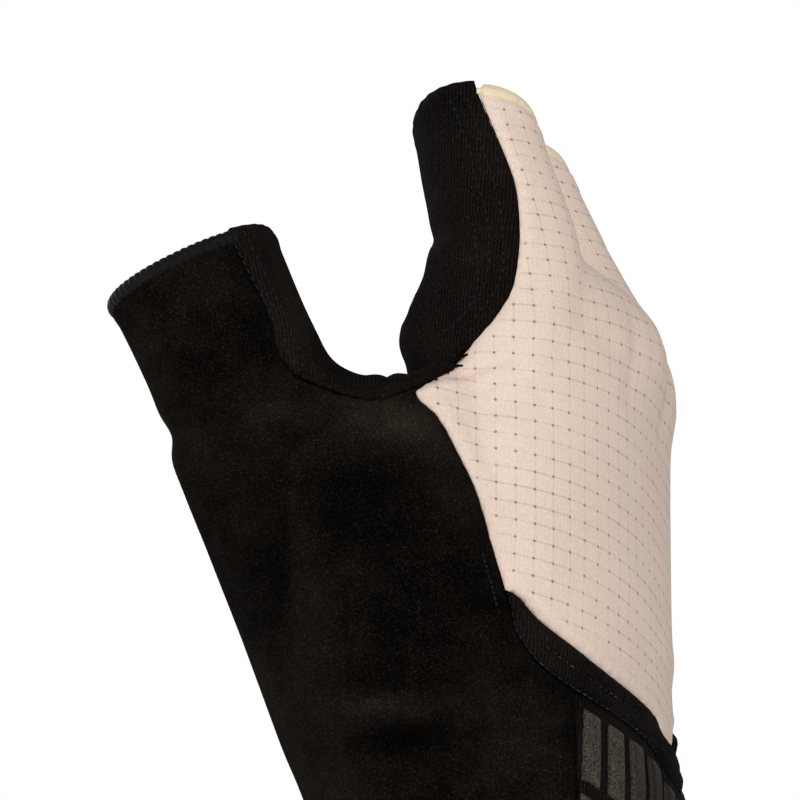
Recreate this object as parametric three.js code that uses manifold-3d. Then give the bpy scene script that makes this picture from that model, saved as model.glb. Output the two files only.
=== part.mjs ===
// Half-finger cycling glove for the right hand, kept in its worn form, in millimetres.
// Up is from the wrist to the fingers, +X is the back of the hand, -X the palm, -Y the thumb side.
// The origin is the middle of the wrist opening.
import * as THREE from 'three';
import { mergeVertices } from 'three/addons/utils/BufferGeometryUtils.js';
import Module from 'manifold-3d';

const wasm = await Module();
wasm.setup();

// Driving sizes of the hand form
const HAND_LENGTH = 106;
const HAND_WIDTH = 86;
const HAND_DEPTH = 35;
const WRIST_WIDTH = 62;
const WRIST_DEPTH = 46;

// Driving sizes of the fingers and the thumb, to their open ends
const FINGER_WIDTH = 18.8;
const FINGER_DEPTH = 20.1;
const INDEX_LENGTH = 39;
const MIDDLE_LENGTH = 35;
const RING_LENGTH = 31;
const LITTLE_LENGTH = 26;
const THUMB_REACH = 61;
const THUMB_WIDTH = 29.5;
const THUMB_DEPTH = 24;

// Cloth, seams and trim
const WALL = 1.5;
const SEAM_GAP = 0.3;
const HEM_HEIGHT = 2.2;
const HEM_RAISE = 0.3;
const BINDING_WIDTH = 2.2;
const BINDING_RAISE = 0.7;
const BAND_RAISE = 0.4;
const BAR_WIDTH = 3.5;
const BAR_HEIGHT = 12;
const BAR_RAISE = 0.7;
const BAR_COLUMNS = 13;
const BAR_ROWS = 2;
const BAR_STEP_DEG = 9.6;
const BAR_ROW_GAP = 2.2;
const BAR_TOP_MARGIN = 2;

// Roundness of the lofts
const HAND_SIDES = 40;
const FINGER_SIDES = 20;
const THUMB_SIDES = 28;
const SQUARENESS = 0.92;
const BEYOND = 12;

// Sections of the hand from the wrist opening to the finger crotches.
// up is a share of HAND_LENGTH, palm and back are shares of the depth there, side of the width there,
// and drop lowers the little-finger side by a share of HAND_LENGTH.
const HAND_ROWS = [
  { up: 0, palm: 0.47, back: 0.53, side: 0.5, drop: 0 },
  { up: 0.15, palm: 0.49, back: 0.57, side: 0.488, drop: 0 },
  { up: 0.32, palm: 0.541, back: 0.612, side: 0.502, drop: 0 },
  { up: 0.47, palm: 0.539, back: 0.568, side: 0.518, drop: 0 },
  { up: 0.66, palm: 0.465, back: 0.585, side: 0.527, drop: 0 },
  { up: 0.83, palm: 0.379, back: 0.612, side: 0.52, drop: 0 },
  { up: 0.93, palm: 0.337, back: 0.64, side: 0.505, drop: 0.015 },
  { up: 0.99, palm: 0.343, back: 0.69, side: 0.49, drop: 0.03 },
  { up: 1.045, palm: 0.31, back: 0.68, side: 0.468, drop: 0.05 },
  { up: 1.09, palm: 0.257, back: 0.58, side: 0.443, drop: 0.07 },
  { up: 1.115, palm: 0.143, back: 0.41, side: 0.4, drop: 0.075 },
];

// Sections shared by the four fingers. along is a share of the finger's length above its knuckle,
// bend a share of its lean to the palm, palm, back and width shares of its size, slant of its askew cut,
// root how much of the finger's own slimness the palm side takes there, and of its crest the back.
const FINGER_ROWS = [
  { along: -0.38, bend: 0, palm: 0.5, back: 0.45, width: 0.46, slant: 0, root: 1 },
  { along: -0.05, bend: 0, palm: 0.87, back: 0.6, width: 0.51, slant: 0, root: 1 },
  { along: 0.12, bend: 0, palm: 0.83, back: 0.67, width: 0.52, slant: 0, root: 0.8 },
  { along: 0.33, bend: 0.05, palm: 0.68, back: 0.64, width: 0.52, slant: 0.1, root: 0.4 },
  { along: 0.52, bend: 0.18, palm: 0.575, back: 0.575, width: 0.515, slant: 0.3, root: 0 },
  { along: 0.75, bend: 0.58, palm: 0.56, back: 0.54, width: 0.51, slant: 0.7, root: 0 },
  { along: 1, bend: 1, palm: 0.52, back: 0.5, width: 0.5, slant: 1, root: 0 },
];

// The fingers. knuckle is a share of HAND_LENGTH, deep of HAND_DEPTH, rootSide and hemSide of HAND_WIDTH,
// bend, slim and crest of FINGER_DEPTH, slant of FINGER_WIDTH, size of the finger's depth and width.
const FINGERS = [
  { name: 'index', length: INDEX_LENGTH, knuckle: 1, deep: 0.086, bend: 0.33, rootSide: -0.378,
    hemSide: -0.32, slant: 0.26, size: 1, slim: 0, crest: -0.08 },
  { name: 'middle', length: MIDDLE_LENGTH, knuckle: 1, deep: 0.19, bend: 0.42, rootSide: -0.126,
    hemSide: -0.082, slant: 0.26, size: 1, slim: 0.2, crest: 0.12 },
  { name: 'ring', length: RING_LENGTH, knuckle: 0.97, deep: 0.11, bend: 0.42, rootSide: 0.126,
    hemSide: 0.147, slant: 0.12, size: 0.97, slim: 0.28, crest: 0.05 },
  { name: 'little', length: LITTLE_LENGTH, knuckle: 0.92, deep: 0.03, bend: 0.4, rootSide: 0.362,
    hemSide: 0.368, slant: -0.05, size: 0.88, slim: 0.33, crest: 0 },
];
const BACK_RISE = 0.06;

// Sections of the thumb from the heel of the hand to its open end. out is the palm edge as a share of
// THUMB_REACH, up its height as a share of HAND_LENGTH, wide a share of THUMB_WIDTH, slope in degrees,
// side a share of HAND_WIDTH towards the thumb side, deep half the depth as a share of THUMB_DEPTH.
const THUMB_ROWS = [
  { out: 0.31, up: 0.02, wide: 0.75, slope: 0, side: 0.02, deep: 0.6 },
  { out: 0.5, up: 0.2, wide: 1.25, slope: 0, side: 0.09, deep: 0.88 },
  { out: 0.575, up: 0.32, wide: 1.45, slope: 3, side: 0.174, deep: 0.875 },
  { out: 0.617, up: 0.397, wide: 1.54, slope: 7, side: 0.233, deep: 0.833 },
  { out: 0.7, up: 0.5575, wide: 1.74, slope: 10.3, side: 0.326, deep: 0.75 },
  { out: 0.766, up: 0.67, wide: 1.85, slope: 16, side: 0.384, deep: 0.63 },
  { out: 0.82, up: 0.764, wide: 1.8, slope: 21, side: 0.442, deep: 0.55 },
  { out: 0.848, up: 0.8217, wide: 1.235, slope: 20, side: 0.488, deep: 0.53 },
  { out: 0.858, up: 0.882, wide: 0.986, slope: 18, side: 0.535, deep: 0.52 },
  { out: 0.918, up: 0.967, wide: 0.969, slope: 19.4, side: 0.558, deep: 0.5 },
  { out: 0.992, up: 1.058, wide: 0.995, slope: 23.4, side: 0.581, deep: 0.48 },
];

// Seam lines seen from the side. deep is a share of the hand's depth at that height, up of HAND_LENGTH
// and along of INDEX_LENGTH.
const FINGER_SEAM = [
  { deep: -0.1, up: 1, along: 1.34 },
  { deep: -0.051, up: 1, along: 1.13 },
  { deep: 0.037, up: 1, along: 0.931 },
  { deep: 0.137, up: 1, along: 0.703 },
  { deep: 0.166, up: 1, along: 0.541 },
  { deep: 0.171, up: 1, along: 0.385 },
  { deep: 0.143, up: 1, along: 0.205 },
  { deep: 0.06, up: 1, along: 0.074 },
];
const THUMB_SIDE_SEAM = [
  { deep: -0.118, up: 0.962, along: 0 },
  { deep: -0.29, up: 0.917, along: 0 },
  { deep: -0.29, up: 0.896, along: 0 },
  { deep: -0.173, up: 0.865, along: 0 },
  { deep: -0.086, up: 0.81, along: 0 },
  { deep: -0.011, up: 0.749, along: 0 },
  { deep: 0.036, up: 0.68, along: 0 },
];
const LITTLE_SIDE_SEAM = [
  { deep: -0.25, up: 1, along: 1.2 },
  { deep: -0.21, up: 1, along: 0.75 },
  { deep: -0.16, up: 1, along: 0.55 },
  { deep: -0.09, up: 1, along: 0.36 },
  { deep: -0.01, up: 1, along: 0.15 },
];
const HAND_SIDE_SEAM = [
  { deep: 0.03, up: 1, along: 0 },
  { deep: 0.01, up: 0.92, along: 0 },
  { deep: 0.02, up: 0.8, along: 0 },
  { deep: 0.05, up: 0.7, along: 0 },
];
const CUFF_LINE = [
  { deep: 0.086, up: 0.605, along: 0 },
  { deep: 0.139, up: 0.594, along: 0 },
  { deep: 0.216, up: 0.561, along: 0 },
  { deep: 0.393, up: 0.505, along: 0 },
  { deep: 0.546, up: 0.455, along: 0 },
  { deep: 0.578, up: 0.406, along: 0 },
  { deep: 0.627, up: 0.34, along: 0 },
  { deep: 0.9, up: 0.24, along: 0 },
];
const BAND_LINE = [
  { deep: 0.111, up: 0.572, along: 0 },
  { deep: 0.123, up: 0.545, along: 0 },
  { deep: 0.176, up: 0.508, along: 0 },
  { deep: 0.238, up: 0.483, along: 0 },
  { deep: 0.33, up: 0.457, along: 0 },
  { deep: 0.486, up: 0.418, along: 0 },
  { deep: 0.555, up: 0.392, along: 0 },
  { deep: 0.58, up: 0.353, along: 0 },
  { deep: 0.618, up: 0.292, along: 0 },
  { deep: 0.88, up: 0.2, along: 0 },
];

// Where the cuff meets the suede, as a share of WRIST_DEPTH, where the index panel ends, of FINGER_WIDTH,
// and where the binding's bed and the back's tongue end, of HAND_WIDTH
const CUFF_EDGE = 0.3;
const INDEX_PANEL_SHARE = 0.12;
const BED_THUMB_SIDE = 0.51;
const BED_INDEX_SIDE = 0.38;
const TONGUE_SIDE = 0.4;

// The thumb's seam and the binding through the thumb crotch, seen from the side. out is a share of
// THUMB_REACH towards the palm and up a share of HAND_LENGTH.
const THUMB_SEAM = [
  { out: 0.7, up: 1.29 },
  { out: 0.628, up: 1.15 },
  { out: 0.543, up: 1.039 },
  { out: 0.49, up: 0.958 },
  { out: 0.456, up: 0.929 },
];
const BINDING_LINE = [
  { out: 0.456, up: 0.929 },
  { out: 0.354, up: 0.91 },
  { out: 0.266, up: 0.901 },
  { out: 0.18, up: 0.92 },
];
const CROTCH_LINE = [
  { out: 0.197, up: 0.9 },
  { out: 0.385, up: 1.038 },
];

// What each surface is made of, as seen
const SUEDE = { color: 0x0f0d0b, roughness: 0.95, metalness: 0 };
const KNIT = { color: 0x101012, roughness: 0.85, metalness: 0 };
const PALE_CLOTH = { color: 0xe2d3c6, roughness: 0.7, metalness: 0 };
const CREAM_ELASTIC = { color: 0xe6dab8, roughness: 0.75, metalness: 0 };
const RUBBER = { color: 0x56504a, roughness: 0.45, metalness: 0 };

// Small sums used everywhere
const mix = (a, b, share) => a + (b - a) * share;
const clamp01 = (value) => Math.min(1, Math.max(0, value));
const depthAt = (up) => mix(WRIST_DEPTH, HAND_DEPTH, clamp01(up));
const widthAt = (up) => mix(WRIST_WIDTH, HAND_WIDTH, clamp01(up));
const radians = THREE.MathUtils.degToRad;

// A closed triangle mesh as a solid
function solidOf(geometry) {
  const bare = new THREE.BufferGeometry();
  bare.setAttribute('position', geometry.getAttribute('position'));
  bare.setIndex(geometry.index);
  const merged = mergeVertices(bare, 1e-4);
  return new wasm.Manifold(new wasm.Mesh({
    numProp: 3,
    vertProperties: new Float32Array(merged.attributes.position.array),
    triVerts: new Uint32Array(merged.index.array),
  }));
}

// One section of a tube: a rounded loop that can be deeper to one side than to the other
function sectionLoop(section, grow, sides) {
  const loop = [];
  for (let i = 0; i < sides; i += 1) {
    const angle = (i / sides) * Math.PI * 2;
    const c = Math.sign(Math.cos(angle)) * Math.abs(Math.cos(angle)) ** SQUARENESS;
    const s = Math.sign(Math.sin(angle)) * Math.abs(Math.sin(angle)) ** SQUARENESS;
    const reach = (c > 0 ? section.back : section.palm) + grow;
    loop.push(section.center.clone()
      .addScaledVector(section.across, c * reach)
      .addScaledVector(section.along, s * (section.side + grow)));
  }
  return loop;
}

// A solid lofted through loops that go up, closed by a flat fan at each end
function loft(loops) {
  const sides = loops[0].length;
  const points = loops.flat();
  const faces = [];
  for (let k = 0; k + 1 < loops.length; k += 1) {
    for (let i = 0; i < sides; i += 1) {
      const a = k * sides + i;
      const b = k * sides + ((i + 1) % sides);
      faces.push(a, b, b + sides, a, b + sides, a + sides);
    }
  }
  const top = (loops.length - 1) * sides;
  for (let i = 1; i + 1 < sides; i += 1) {
    faces.push(0, i + 1, i);
    faces.push(top, top + i, top + i + 1);
  }
  const geometry = new THREE.BufferGeometry().setFromPoints(points);
  geometry.setIndex(faces);
  return solidOf(geometry);
}

// A section moved along its tube, for lofts that run past an open end
function shifted(section, distance) {
  const direction = new THREE.Vector3().crossVectors(section.across, section.along).normalize();
  return { ...section, center: section.center.clone().addScaledVector(direction, distance) };
}

// The sections of the hand, of a finger and of the thumb
const handSections = HAND_ROWS.map((row) => {
  const side = row.side * widthAt(row.up);
  return {
    center: new THREE.Vector3(0, 0, row.up * HAND_LENGTH),
    across: new THREE.Vector3(1, 0, 0),
    along: new THREE.Vector3(0, 1, (-row.drop * HAND_LENGTH) / side),
    palm: row.palm * depthAt(row.up),
    back: row.back * depthAt(row.up),
    side,
  };
});

function fingerSections(finger) {
  return FINGER_ROWS.map((row) => {
    const side = row.width * finger.size * FINGER_WIDTH;
    const rise = row.slant * finger.slant * FINGER_WIDTH;
    const x = finger.deep * HAND_DEPTH - row.bend * finger.bend * FINGER_DEPTH;
    const y = mix(finger.rootSide, finger.hemSide, clamp01(row.along)) * HAND_WIDTH;
    return {
      center: new THREE.Vector3(x, y, finger.knuckle * HAND_LENGTH + row.along * finger.length),
      across: new THREE.Vector3(1, 0, row.slant * BACK_RISE),
      along: new THREE.Vector3(0, 1, -rise / side),
      palm: (row.palm - row.root * finger.slim) * finger.size * FINGER_DEPTH,
      back: (row.back + row.root * finger.crest) * finger.size * FINGER_DEPTH,
      side,
    };
  });
}

const thumbSections = THUMB_ROWS.map((row) => {
  const half = (row.wide * THUMB_WIDTH) / 2;
  const across = new THREE.Vector3(Math.cos(radians(row.slope)), 0, Math.sin(radians(row.slope)));
  return {
    center: new THREE.Vector3(-row.out * THUMB_REACH, -row.side * HAND_WIDTH, row.up * HAND_LENGTH)
      .addScaledVector(across, half),
    across,
    along: new THREE.Vector3(0, 1, 0),
    palm: half,
    back: half,
    side: row.deep * THUMB_DEPTH,
  };
});

// A tube through sections, grown outwards or inwards, with its open end run on where it is a cavity
function tube(sections, grow, sides, runOn) {
  const rows = runOn ? [...sections, shifted(sections.at(-1), BEYOND)] : sections;
  return loft(rows.map((section) => sectionLoop(section, grow, sides)));
}

function handTube(grow) {
  const below = shifted(handSections[0], -BEYOND);
  const rows = grow < 0 ? [below, ...handSections.slice(0, -1)] : handSections;
  const last = { ...handSections.at(-1) };
  last.center = last.center.clone().setZ(last.center.z + Math.min(0, grow));
  const closed = grow < 0 ? [...rows, last] : rows;
  return loft(closed.map((section) => sectionLoop(section, grow, HAND_SIDES)));
}

// The whole glove as one thin wall, grown outwards where a raised trim is cut from it
function outerForm(grow) {
  return FINGERS.reduce(
    (form, finger) => form.add(tube(fingerSections(finger), grow, FINGER_SIDES, false)),
    handTube(grow).add(tube(thumbSections, grow, THUMB_SIDES, false)),
  );
}

const cavity = FINGERS.reduce(
  (form, finger) => form.add(tube(fingerSections(finger), -WALL, FINGER_SIDES, true)),
  handTube(-WALL).add(tube(thumbSections, -WALL, THUMB_SIDES, true)),
);
const shell = outerForm(0).subtract(cavity);

// Lines seen from the side, as points with x and height
const seamPoint = (row) => new THREE.Vector2(
  row.deep * depthAt(row.up),
  row.up * HAND_LENGTH + row.along * INDEX_LENGTH,
);
const thumbPoint = (row) => new THREE.Vector2(-row.out * THUMB_REACH, row.up * HAND_LENGTH);
const fingerSeam = FINGER_SEAM.map(seamPoint);
const thumbSideSeam = THUMB_SIDE_SEAM.map(seamPoint);
const littleSideSeam = LITTLE_SIDE_SEAM.map(seamPoint);
const handSideSeam = HAND_SIDE_SEAM.map(seamPoint);
const cuffLine = CUFF_LINE.map(seamPoint);
const bandLine = BAND_LINE.map(seamPoint);
const thumbSeam = THUMB_SEAM.map(thumbPoint);
const bindingLine = [...BINDING_LINE.map(thumbPoint), seamPoint(THUMB_SIDE_SEAM[0])];

// A flat outline seen from the side, run through the glove from one y to another
const FAR = 3 * HAND_WIDTH;
function sideCut(points, fromY = -FAR, toY = FAR) {
  const settings = { depth: toY - fromY, bevelEnabled: false };
  const geometry = new THREE.ExtrudeGeometry(new THREE.Shape(points), settings);
  geometry.rotateX(Math.PI / 2);
  geometry.translate(0, toY, 0);
  return solidOf(geometry);
}

// A strip of even width along a line, which leaves the gap of a seam
function strip(line, width, fromY = -FAR, toY = FAR) {
  const left = [];
  const right = [];
  line.forEach((point, i) => {
    const before = line[Math.max(0, i - 1)];
    const after = line[Math.min(line.length - 1, i + 1)];
    const normal = new THREE.Vector2(before.y - after.y, after.x - before.x).normalize();
    left.push(point.clone().addScaledVector(normal, width / 2));
    right.push(point.clone().addScaledVector(normal, -width / 2));
  });
  return sideCut([...left, ...right.reverse()], fromY, toY);
}

// Regions of the panels
const atFar = (height) => new THREE.Vector2(FAR, height);
const above = (point) => new THREE.Vector2(point.x, FAR);
const farCuff = atFar(cuffLine.at(-1).y);
const farBand = atFar(bandLine.at(-1).y);
const tongueY = -TONGUE_SIDE * HAND_WIDTH;
const thumbSideLine = [...fingerSeam, ...thumbSideSeam, ...cuffLine];
const middleLine = [...fingerSeam, ...handSideSeam, ...cuffLine];
const littleSideLine = [...littleSideSeam, ...handSideSeam, ...cuffLine];
const backOutline = (line) => [above(line[0]), ...line, farCuff, atFar(FAR)];
const backRegion = sideCut(backOutline(thumbSideLine), -FAR, tongueY)
  .add(sideCut(backOutline(middleLine), tongueY, 0))
  .add(sideCut(backOutline(littleSideLine), 0, FAR));
const bandRegion = sideCut([...cuffLine, farCuff, farBand, ...bandLine.toReversed()]);
const cuffBottom = new THREE.Vector2(CUFF_EDGE * WRIST_DEPTH, -FAR);
const cornerRow = bandLine.findLastIndex((point) => point.x < cuffBottom.x);
const cuffCorner = bandLine[cornerRow];
const cuffRegion = sideCut([cuffBottom, ...bandLine.slice(cornerRow), farBand, atFar(-FAR)]);
const bindingEnd = bindingLine.at(-1);
const knitRegion = sideCut([
  above(thumbSeam[0]), ...thumbSeam, ...bindingLine.slice(1), atFar(bindingEnd.y), atFar(FAR),
]);

// The two knit panels part in the thumb crotch, and the index panel reaches past the finger's middle
function thumbSide(more) {
  const [low, high] = CROTCH_LINE.map((row) => thumbPoint(row).setX(more - row.out * THUMB_REACH));
  const palmBottom = new THREE.Vector2(-FAR, -FAR);
  const palmTop = new THREE.Vector2(-FAR, FAR);
  const below = new THREE.Vector2(low.x, -FAR);
  return sideCut([palmBottom, below, low, high, above(high), palmTop], -FAR, 0);
}
function indexSide(more) {
  const sections = fingerSections(FINGERS[0]);
  const low = sections[0].center;
  const high = sections.at(-1).center;
  const past = INDEX_PANEL_SHARE * FINGER_WIDTH + more;
  const corners = (y, z) => [
    new THREE.Vector3(FAR, y, z),
    new THREE.Vector3(-FAR, y, z),
    new THREE.Vector3(-FAR, -FAR, z),
    new THREE.Vector3(FAR, -FAR, z),
  ];
  return loft([corners(low.y + past, low.z), corners(high.y + past, high.z + BEYOND)]);
}
const knitSides = thumbSide(0).add(indexSide(SEAM_GAP));

// Gaps along every seam
const gaps = [
  strip([above(thumbSideLine[0]), ...thumbSideLine], SEAM_GAP, -FAR, tongueY),
  strip([above(middleLine[0]), ...middleLine], SEAM_GAP, tongueY, 0),
  strip([above(littleSideLine[0]), ...littleSideLine], SEAM_GAP, 0, FAR),
  sideCut([...fingerSeam, ...littleSideSeam.toReversed()], -SEAM_GAP / 2, SEAM_GAP / 2),
  strip([cuffLine[0], ...bandLine], SEAM_GAP),
  strip([cuffBottom, cuffCorner], SEAM_GAP),
  strip([above(thumbSeam[0]), ...thumbSeam], SEAM_GAP),
  strip(bindingLine, SEAM_GAP).intersect(knitSides),
].reduce((all, gap) => all.add(gap));

// A slab across an open end, from some way down its tube to past its edge
function endSlab(sections, down, sides) {
  const last = sections.at(-1);
  const loops = [-down, BEYOND].map((way) => sectionLoop(shifted(last, way), HEM_RAISE + SEAM_GAP, sides));
  return loft(loops);
}
const fingerEnd = (finger, down) => endSlab(fingerSections(finger), down, FINGER_SIDES);
const thumbEnd = (down) => endSlab(thumbSections, down, THUMB_SIDES);

// The binding's bed, on the outer side of the thumb crotch
const bedSide = (() => {
  const thumbY = -BED_THUMB_SIDE * HAND_WIDTH;
  const indexY = -BED_INDEX_SIDE * HAND_WIDTH;
  const corners = (z) => [
    new THREE.Vector3(FAR, indexY, z),
    new THREE.Vector3(bindingEnd.x, indexY, z),
    new THREE.Vector3(bindingLine[0].x, thumbY, z),
    new THREE.Vector3(-FAR, thumbY, z),
    new THREE.Vector3(-FAR, -FAR, z),
    new THREE.Vector3(FAR, -FAR, z),
  ];
  return loft([corners(0), corners(FAR)]);
})();
const bindingBed = (width) => strip(bindingLine, width).intersect(bedSide);

// Cloth panels
const backPanel = FINGERS.reduce(
  (panel, finger) => panel.subtract(fingerEnd(finger, HEM_HEIGHT + SEAM_GAP).intersect(backRegion)),
  shell.intersect(backRegion).subtract(gaps).subtract(bindingBed(BINDING_WIDTH + 2 * SEAM_GAP)),
);
const palmPanel = shell
  .subtract(backRegion)
  .subtract(bandRegion)
  .subtract(cuffRegion)
  .subtract(knitRegion.intersect(knitSides))
  .subtract(gaps)
  .subtract(bindingBed(BINDING_WIDTH + 2 * SEAM_GAP))
  .subtract(thumbEnd(HEM_HEIGHT + SEAM_GAP));
const knit = shell
  .intersect(knitRegion)
  .subtract(backRegion)
  .subtract(gaps)
  .subtract(bindingBed(BINDING_WIDTH + 2 * SEAM_GAP));
const indexSidePanel = knit.intersect(indexSide(0)).subtract(thumbSide(0));
const thumbInnerPanel = knit.intersect(thumbSide(-SEAM_GAP));
const cuff = shell.intersect(cuffRegion).subtract(gaps);
const bandWall = handTube(BAND_RAISE).subtract(cavity);
const cuffBand = bandWall.intersect(bandRegion).subtract(gaps);

// Trim: the binding and the hems of the open ends
const binding = outerForm(BINDING_RAISE)
  .subtract(cavity)
  .intersect(bindingBed(BINDING_WIDTH))
  .subtract(backRegion)
  .subtract(strip(fingerSeam, SEAM_GAP))
  .subtract(strip(thumbSideSeam, SEAM_GAP));
const fingerHem = (finger) => tube(fingerSections(finger), HEM_RAISE, FINGER_SIDES, false)
  .subtract(tube(fingerSections(finger), -WALL, FINGER_SIDES, true))
  .intersect(fingerEnd(finger, HEM_HEIGHT))
  .intersect(backRegion)
  .subtract(gaps);
const thumbHem = tube(thumbSections, HEM_RAISE, THUMB_SIDES, false)
  .subtract(tube(thumbSections, -WALL, THUMB_SIDES, true))
  .intersect(thumbEnd(HEM_HEIGHT))
  .subtract(knitRegion)
  .subtract(gaps);

// Grip bars: upright strips in rows that follow the band, standing off the cuff's cloth
const barWall = handTube(SEAM_GAP + BAR_RAISE).subtract(handTube(SEAM_GAP));
function barRow(row) {
  const drop = BAR_TOP_MARGIN + row * (BAR_HEIGHT + BAR_ROW_GAP);
  const lowered = (by) => bandLine.map((point) => new THREE.Vector2(point.x, point.y - by));
  return sideCut([...lowered(drop), ...lowered(drop + BAR_HEIGHT).reverse()]);
}
function barColumn(column) {
  const angle = radians((column - (BAR_COLUMNS - 1) / 2) * BAR_STEP_DEG);
  const section = handSections[1];
  const x = Math.cos(angle) * section.back;
  const y = Math.sin(angle) * section.side;
  const facing = Math.atan2(y / section.side ** 2, x / section.back ** 2);
  const box = new THREE.BoxGeometry(WRIST_DEPTH / 2, BAR_WIDTH, HAND_LENGTH);
  box.rotateZ(facing);
  box.translate(x, y, HAND_LENGTH / 2);
  return solidOf(box);
}

// A solid as a named mesh with its look
function meshOf(name, solid, look) {
  const made = solid.getMesh();
  const geometry = new THREE.BufferGeometry();
  geometry.setAttribute('position', new THREE.BufferAttribute(new Float32Array(made.vertProperties), 3));
  geometry.setIndex(new THREE.BufferAttribute(new Uint32Array(made.triVerts), 1));
  geometry.computeVertexNormals();
  const mesh = new THREE.Mesh(geometry, new THREE.MeshStandardMaterial({ ...look, flatShading: true }));
  mesh.name = name;
  return mesh;
}

const glove = new THREE.Group();
glove.add(meshOf('back_panel', backPanel, PALE_CLOTH));
glove.add(meshOf('palm_panel', palmPanel, SUEDE));
glove.add(meshOf('index_side_panel', indexSidePanel, KNIT));
glove.add(meshOf('thumb_inner_panel', thumbInnerPanel, KNIT));
glove.add(meshOf('web_binding', binding, KNIT));
glove.add(meshOf('thumb_hem', thumbHem, KNIT));
FINGERS.forEach((finger) => {
  glove.add(meshOf(`${finger.name}_hem`, fingerHem(finger), CREAM_ELASTIC));
});
glove.add(meshOf('cuff', cuff, KNIT));
glove.add(meshOf('cuff_band', cuffBand, KNIT));
for (let row = 0; row < BAR_ROWS; row += 1) {
  const region = barRow(row);
  for (let column = 0; column < BAR_COLUMNS; column += 1) {
    const bar = barWall.intersect(barColumn(column)).intersect(region);
    glove.add(meshOf(`grip_bar_${row + 1}_${column + 1}`, bar, RUBBER));
  }
}

export default glove;
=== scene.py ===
# Half-finger cycling glove for the right hand, in its worn form, with nobody and nothing inside it.
# All lengths are in millimetres in the glove's own frame and turn into metres where a mesh is made.
# Up runs from the wrist to the fingers, +X out of the back of the hand and -Y towards the thumb.
import math
import bpy
import numpy as np
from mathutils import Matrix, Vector
from mathutils.bvhtree import BVHTree
from mathutils.kdtree import KDTree


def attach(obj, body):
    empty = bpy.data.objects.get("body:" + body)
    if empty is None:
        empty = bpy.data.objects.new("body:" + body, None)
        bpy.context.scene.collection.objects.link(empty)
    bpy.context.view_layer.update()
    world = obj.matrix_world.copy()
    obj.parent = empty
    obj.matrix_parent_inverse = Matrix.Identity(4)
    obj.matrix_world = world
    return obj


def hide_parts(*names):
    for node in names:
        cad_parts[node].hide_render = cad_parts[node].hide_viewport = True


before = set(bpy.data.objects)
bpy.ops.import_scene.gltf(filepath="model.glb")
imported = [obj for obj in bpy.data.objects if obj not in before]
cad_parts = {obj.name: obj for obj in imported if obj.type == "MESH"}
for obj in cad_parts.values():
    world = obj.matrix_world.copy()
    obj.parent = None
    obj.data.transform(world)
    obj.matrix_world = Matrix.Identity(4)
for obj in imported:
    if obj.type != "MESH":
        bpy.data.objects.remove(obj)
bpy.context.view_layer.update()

# Palm panel: one piece of black synthetic suede that covers the palm, the heel and the thumb side of
# the hand and the front of the thumb and the fingers. Cut flat, sewn to its neighbours inside out and
# pulled over the hand, so it has soft folds, a rolled border and a nap laid by brushing that lies in patches.
# Some lighter and darker patches on its thumb side are painted highlights on fold ridges and bulges and
# painted shade in fold valleys.
MM = 0.001
HAND_LENGTH, HAND_WIDTH, HAND_DEPTH = 106.0, 86.0, 35.0
WRIST_WIDTH, WRIST_DEPTH = 62.0, 46.0
FINGER_WIDTH, FINGER_DEPTH = 18.8, 20.1
THUMB_REACH, THUMB_WIDTH, THUMB_DEPTH = 61.0, 29.5, 24.0
SQUARENESS, BACK_RISE = 0.92, 0.06
INDEX_LENGTH = 39.0
CLOTH = 1.25
PAST_END = 6.0
SLIMMED = 0.4
TUBE_SIDES = 96
SKIN_STEP = 0.77

# Sections of the hand. up is a share of its length, palm and back of its depth there, side of its width
# there, and drop is how much lower the little-finger side lies, as a share of the length
# up, palm, back, side, drop
HAND_ROWS = [
    (0, 0.47, 0.53, 0.5, 0), (0.15, 0.49, 0.57, 0.488, 0), (0.32, 0.541, 0.612, 0.502, 0),
    (0.47, 0.539, 0.568, 0.518, 0), (0.66, 0.465, 0.585, 0.527, 0), (0.83, 0.379, 0.612, 0.52, 0),
    (0.93, 0.337, 0.64, 0.505, 0.015), (0.99, 0.343, 0.69, 0.49, 0.03), (1.045, 0.31, 0.68, 0.468, 0.05),
    (1.09, 0.257, 0.58, 0.443, 0.07), (1.115, 0.143, 0.41, 0.4, 0.075),
]
# Sections of every finger. along is a share of its length, palm and back of FINGER_DEPTH, width of
# FINGER_WIDTH, and bend, slant and root say how much of the finger's own values in the next table they take
# along, bend, palm, back, width, slant, root
FINGER_ROWS = [
    (-0.38, 0, 0.5, 0.45, 0.46, 0, 1), (-0.05, 0, 0.87, 0.6, 0.51, 0, 1),
    (0.12, 0, 0.83, 0.67, 0.52, 0, 0.8), (0.33, 0.05, 0.68, 0.64, 0.52, 0.1, 0.4),
    (0.52, 0.18, 0.575, 0.575, 0.515, 0.3, 0), (0.75, 0.58, 0.56, 0.54, 0.51, 0.7, 0),
    (1, 1, 0.52, 0.5, 0.5, 1, 0),
]
# name, length, knuckle, deep, bend, root side, hem side, slant, size, slim, crest
FINGERS = [
    ("index", 39, 1, 0.086, 0.33, -0.378, -0.32, 0.26, 1, 0, -0.08),
    ("middle", 35, 1, 0.19, 0.42, -0.126, -0.082, 0.26, 1, 0.2, 0.12),
    ("ring", 31, 0.97, 0.11, 0.42, 0.126, 0.147, 0.12, 0.97, 0.28, 0.05),
    ("little", 26, 0.92, 0.03, 0.4, 0.362, 0.368, -0.05, 0.88, 0.33, 0),
]
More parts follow.
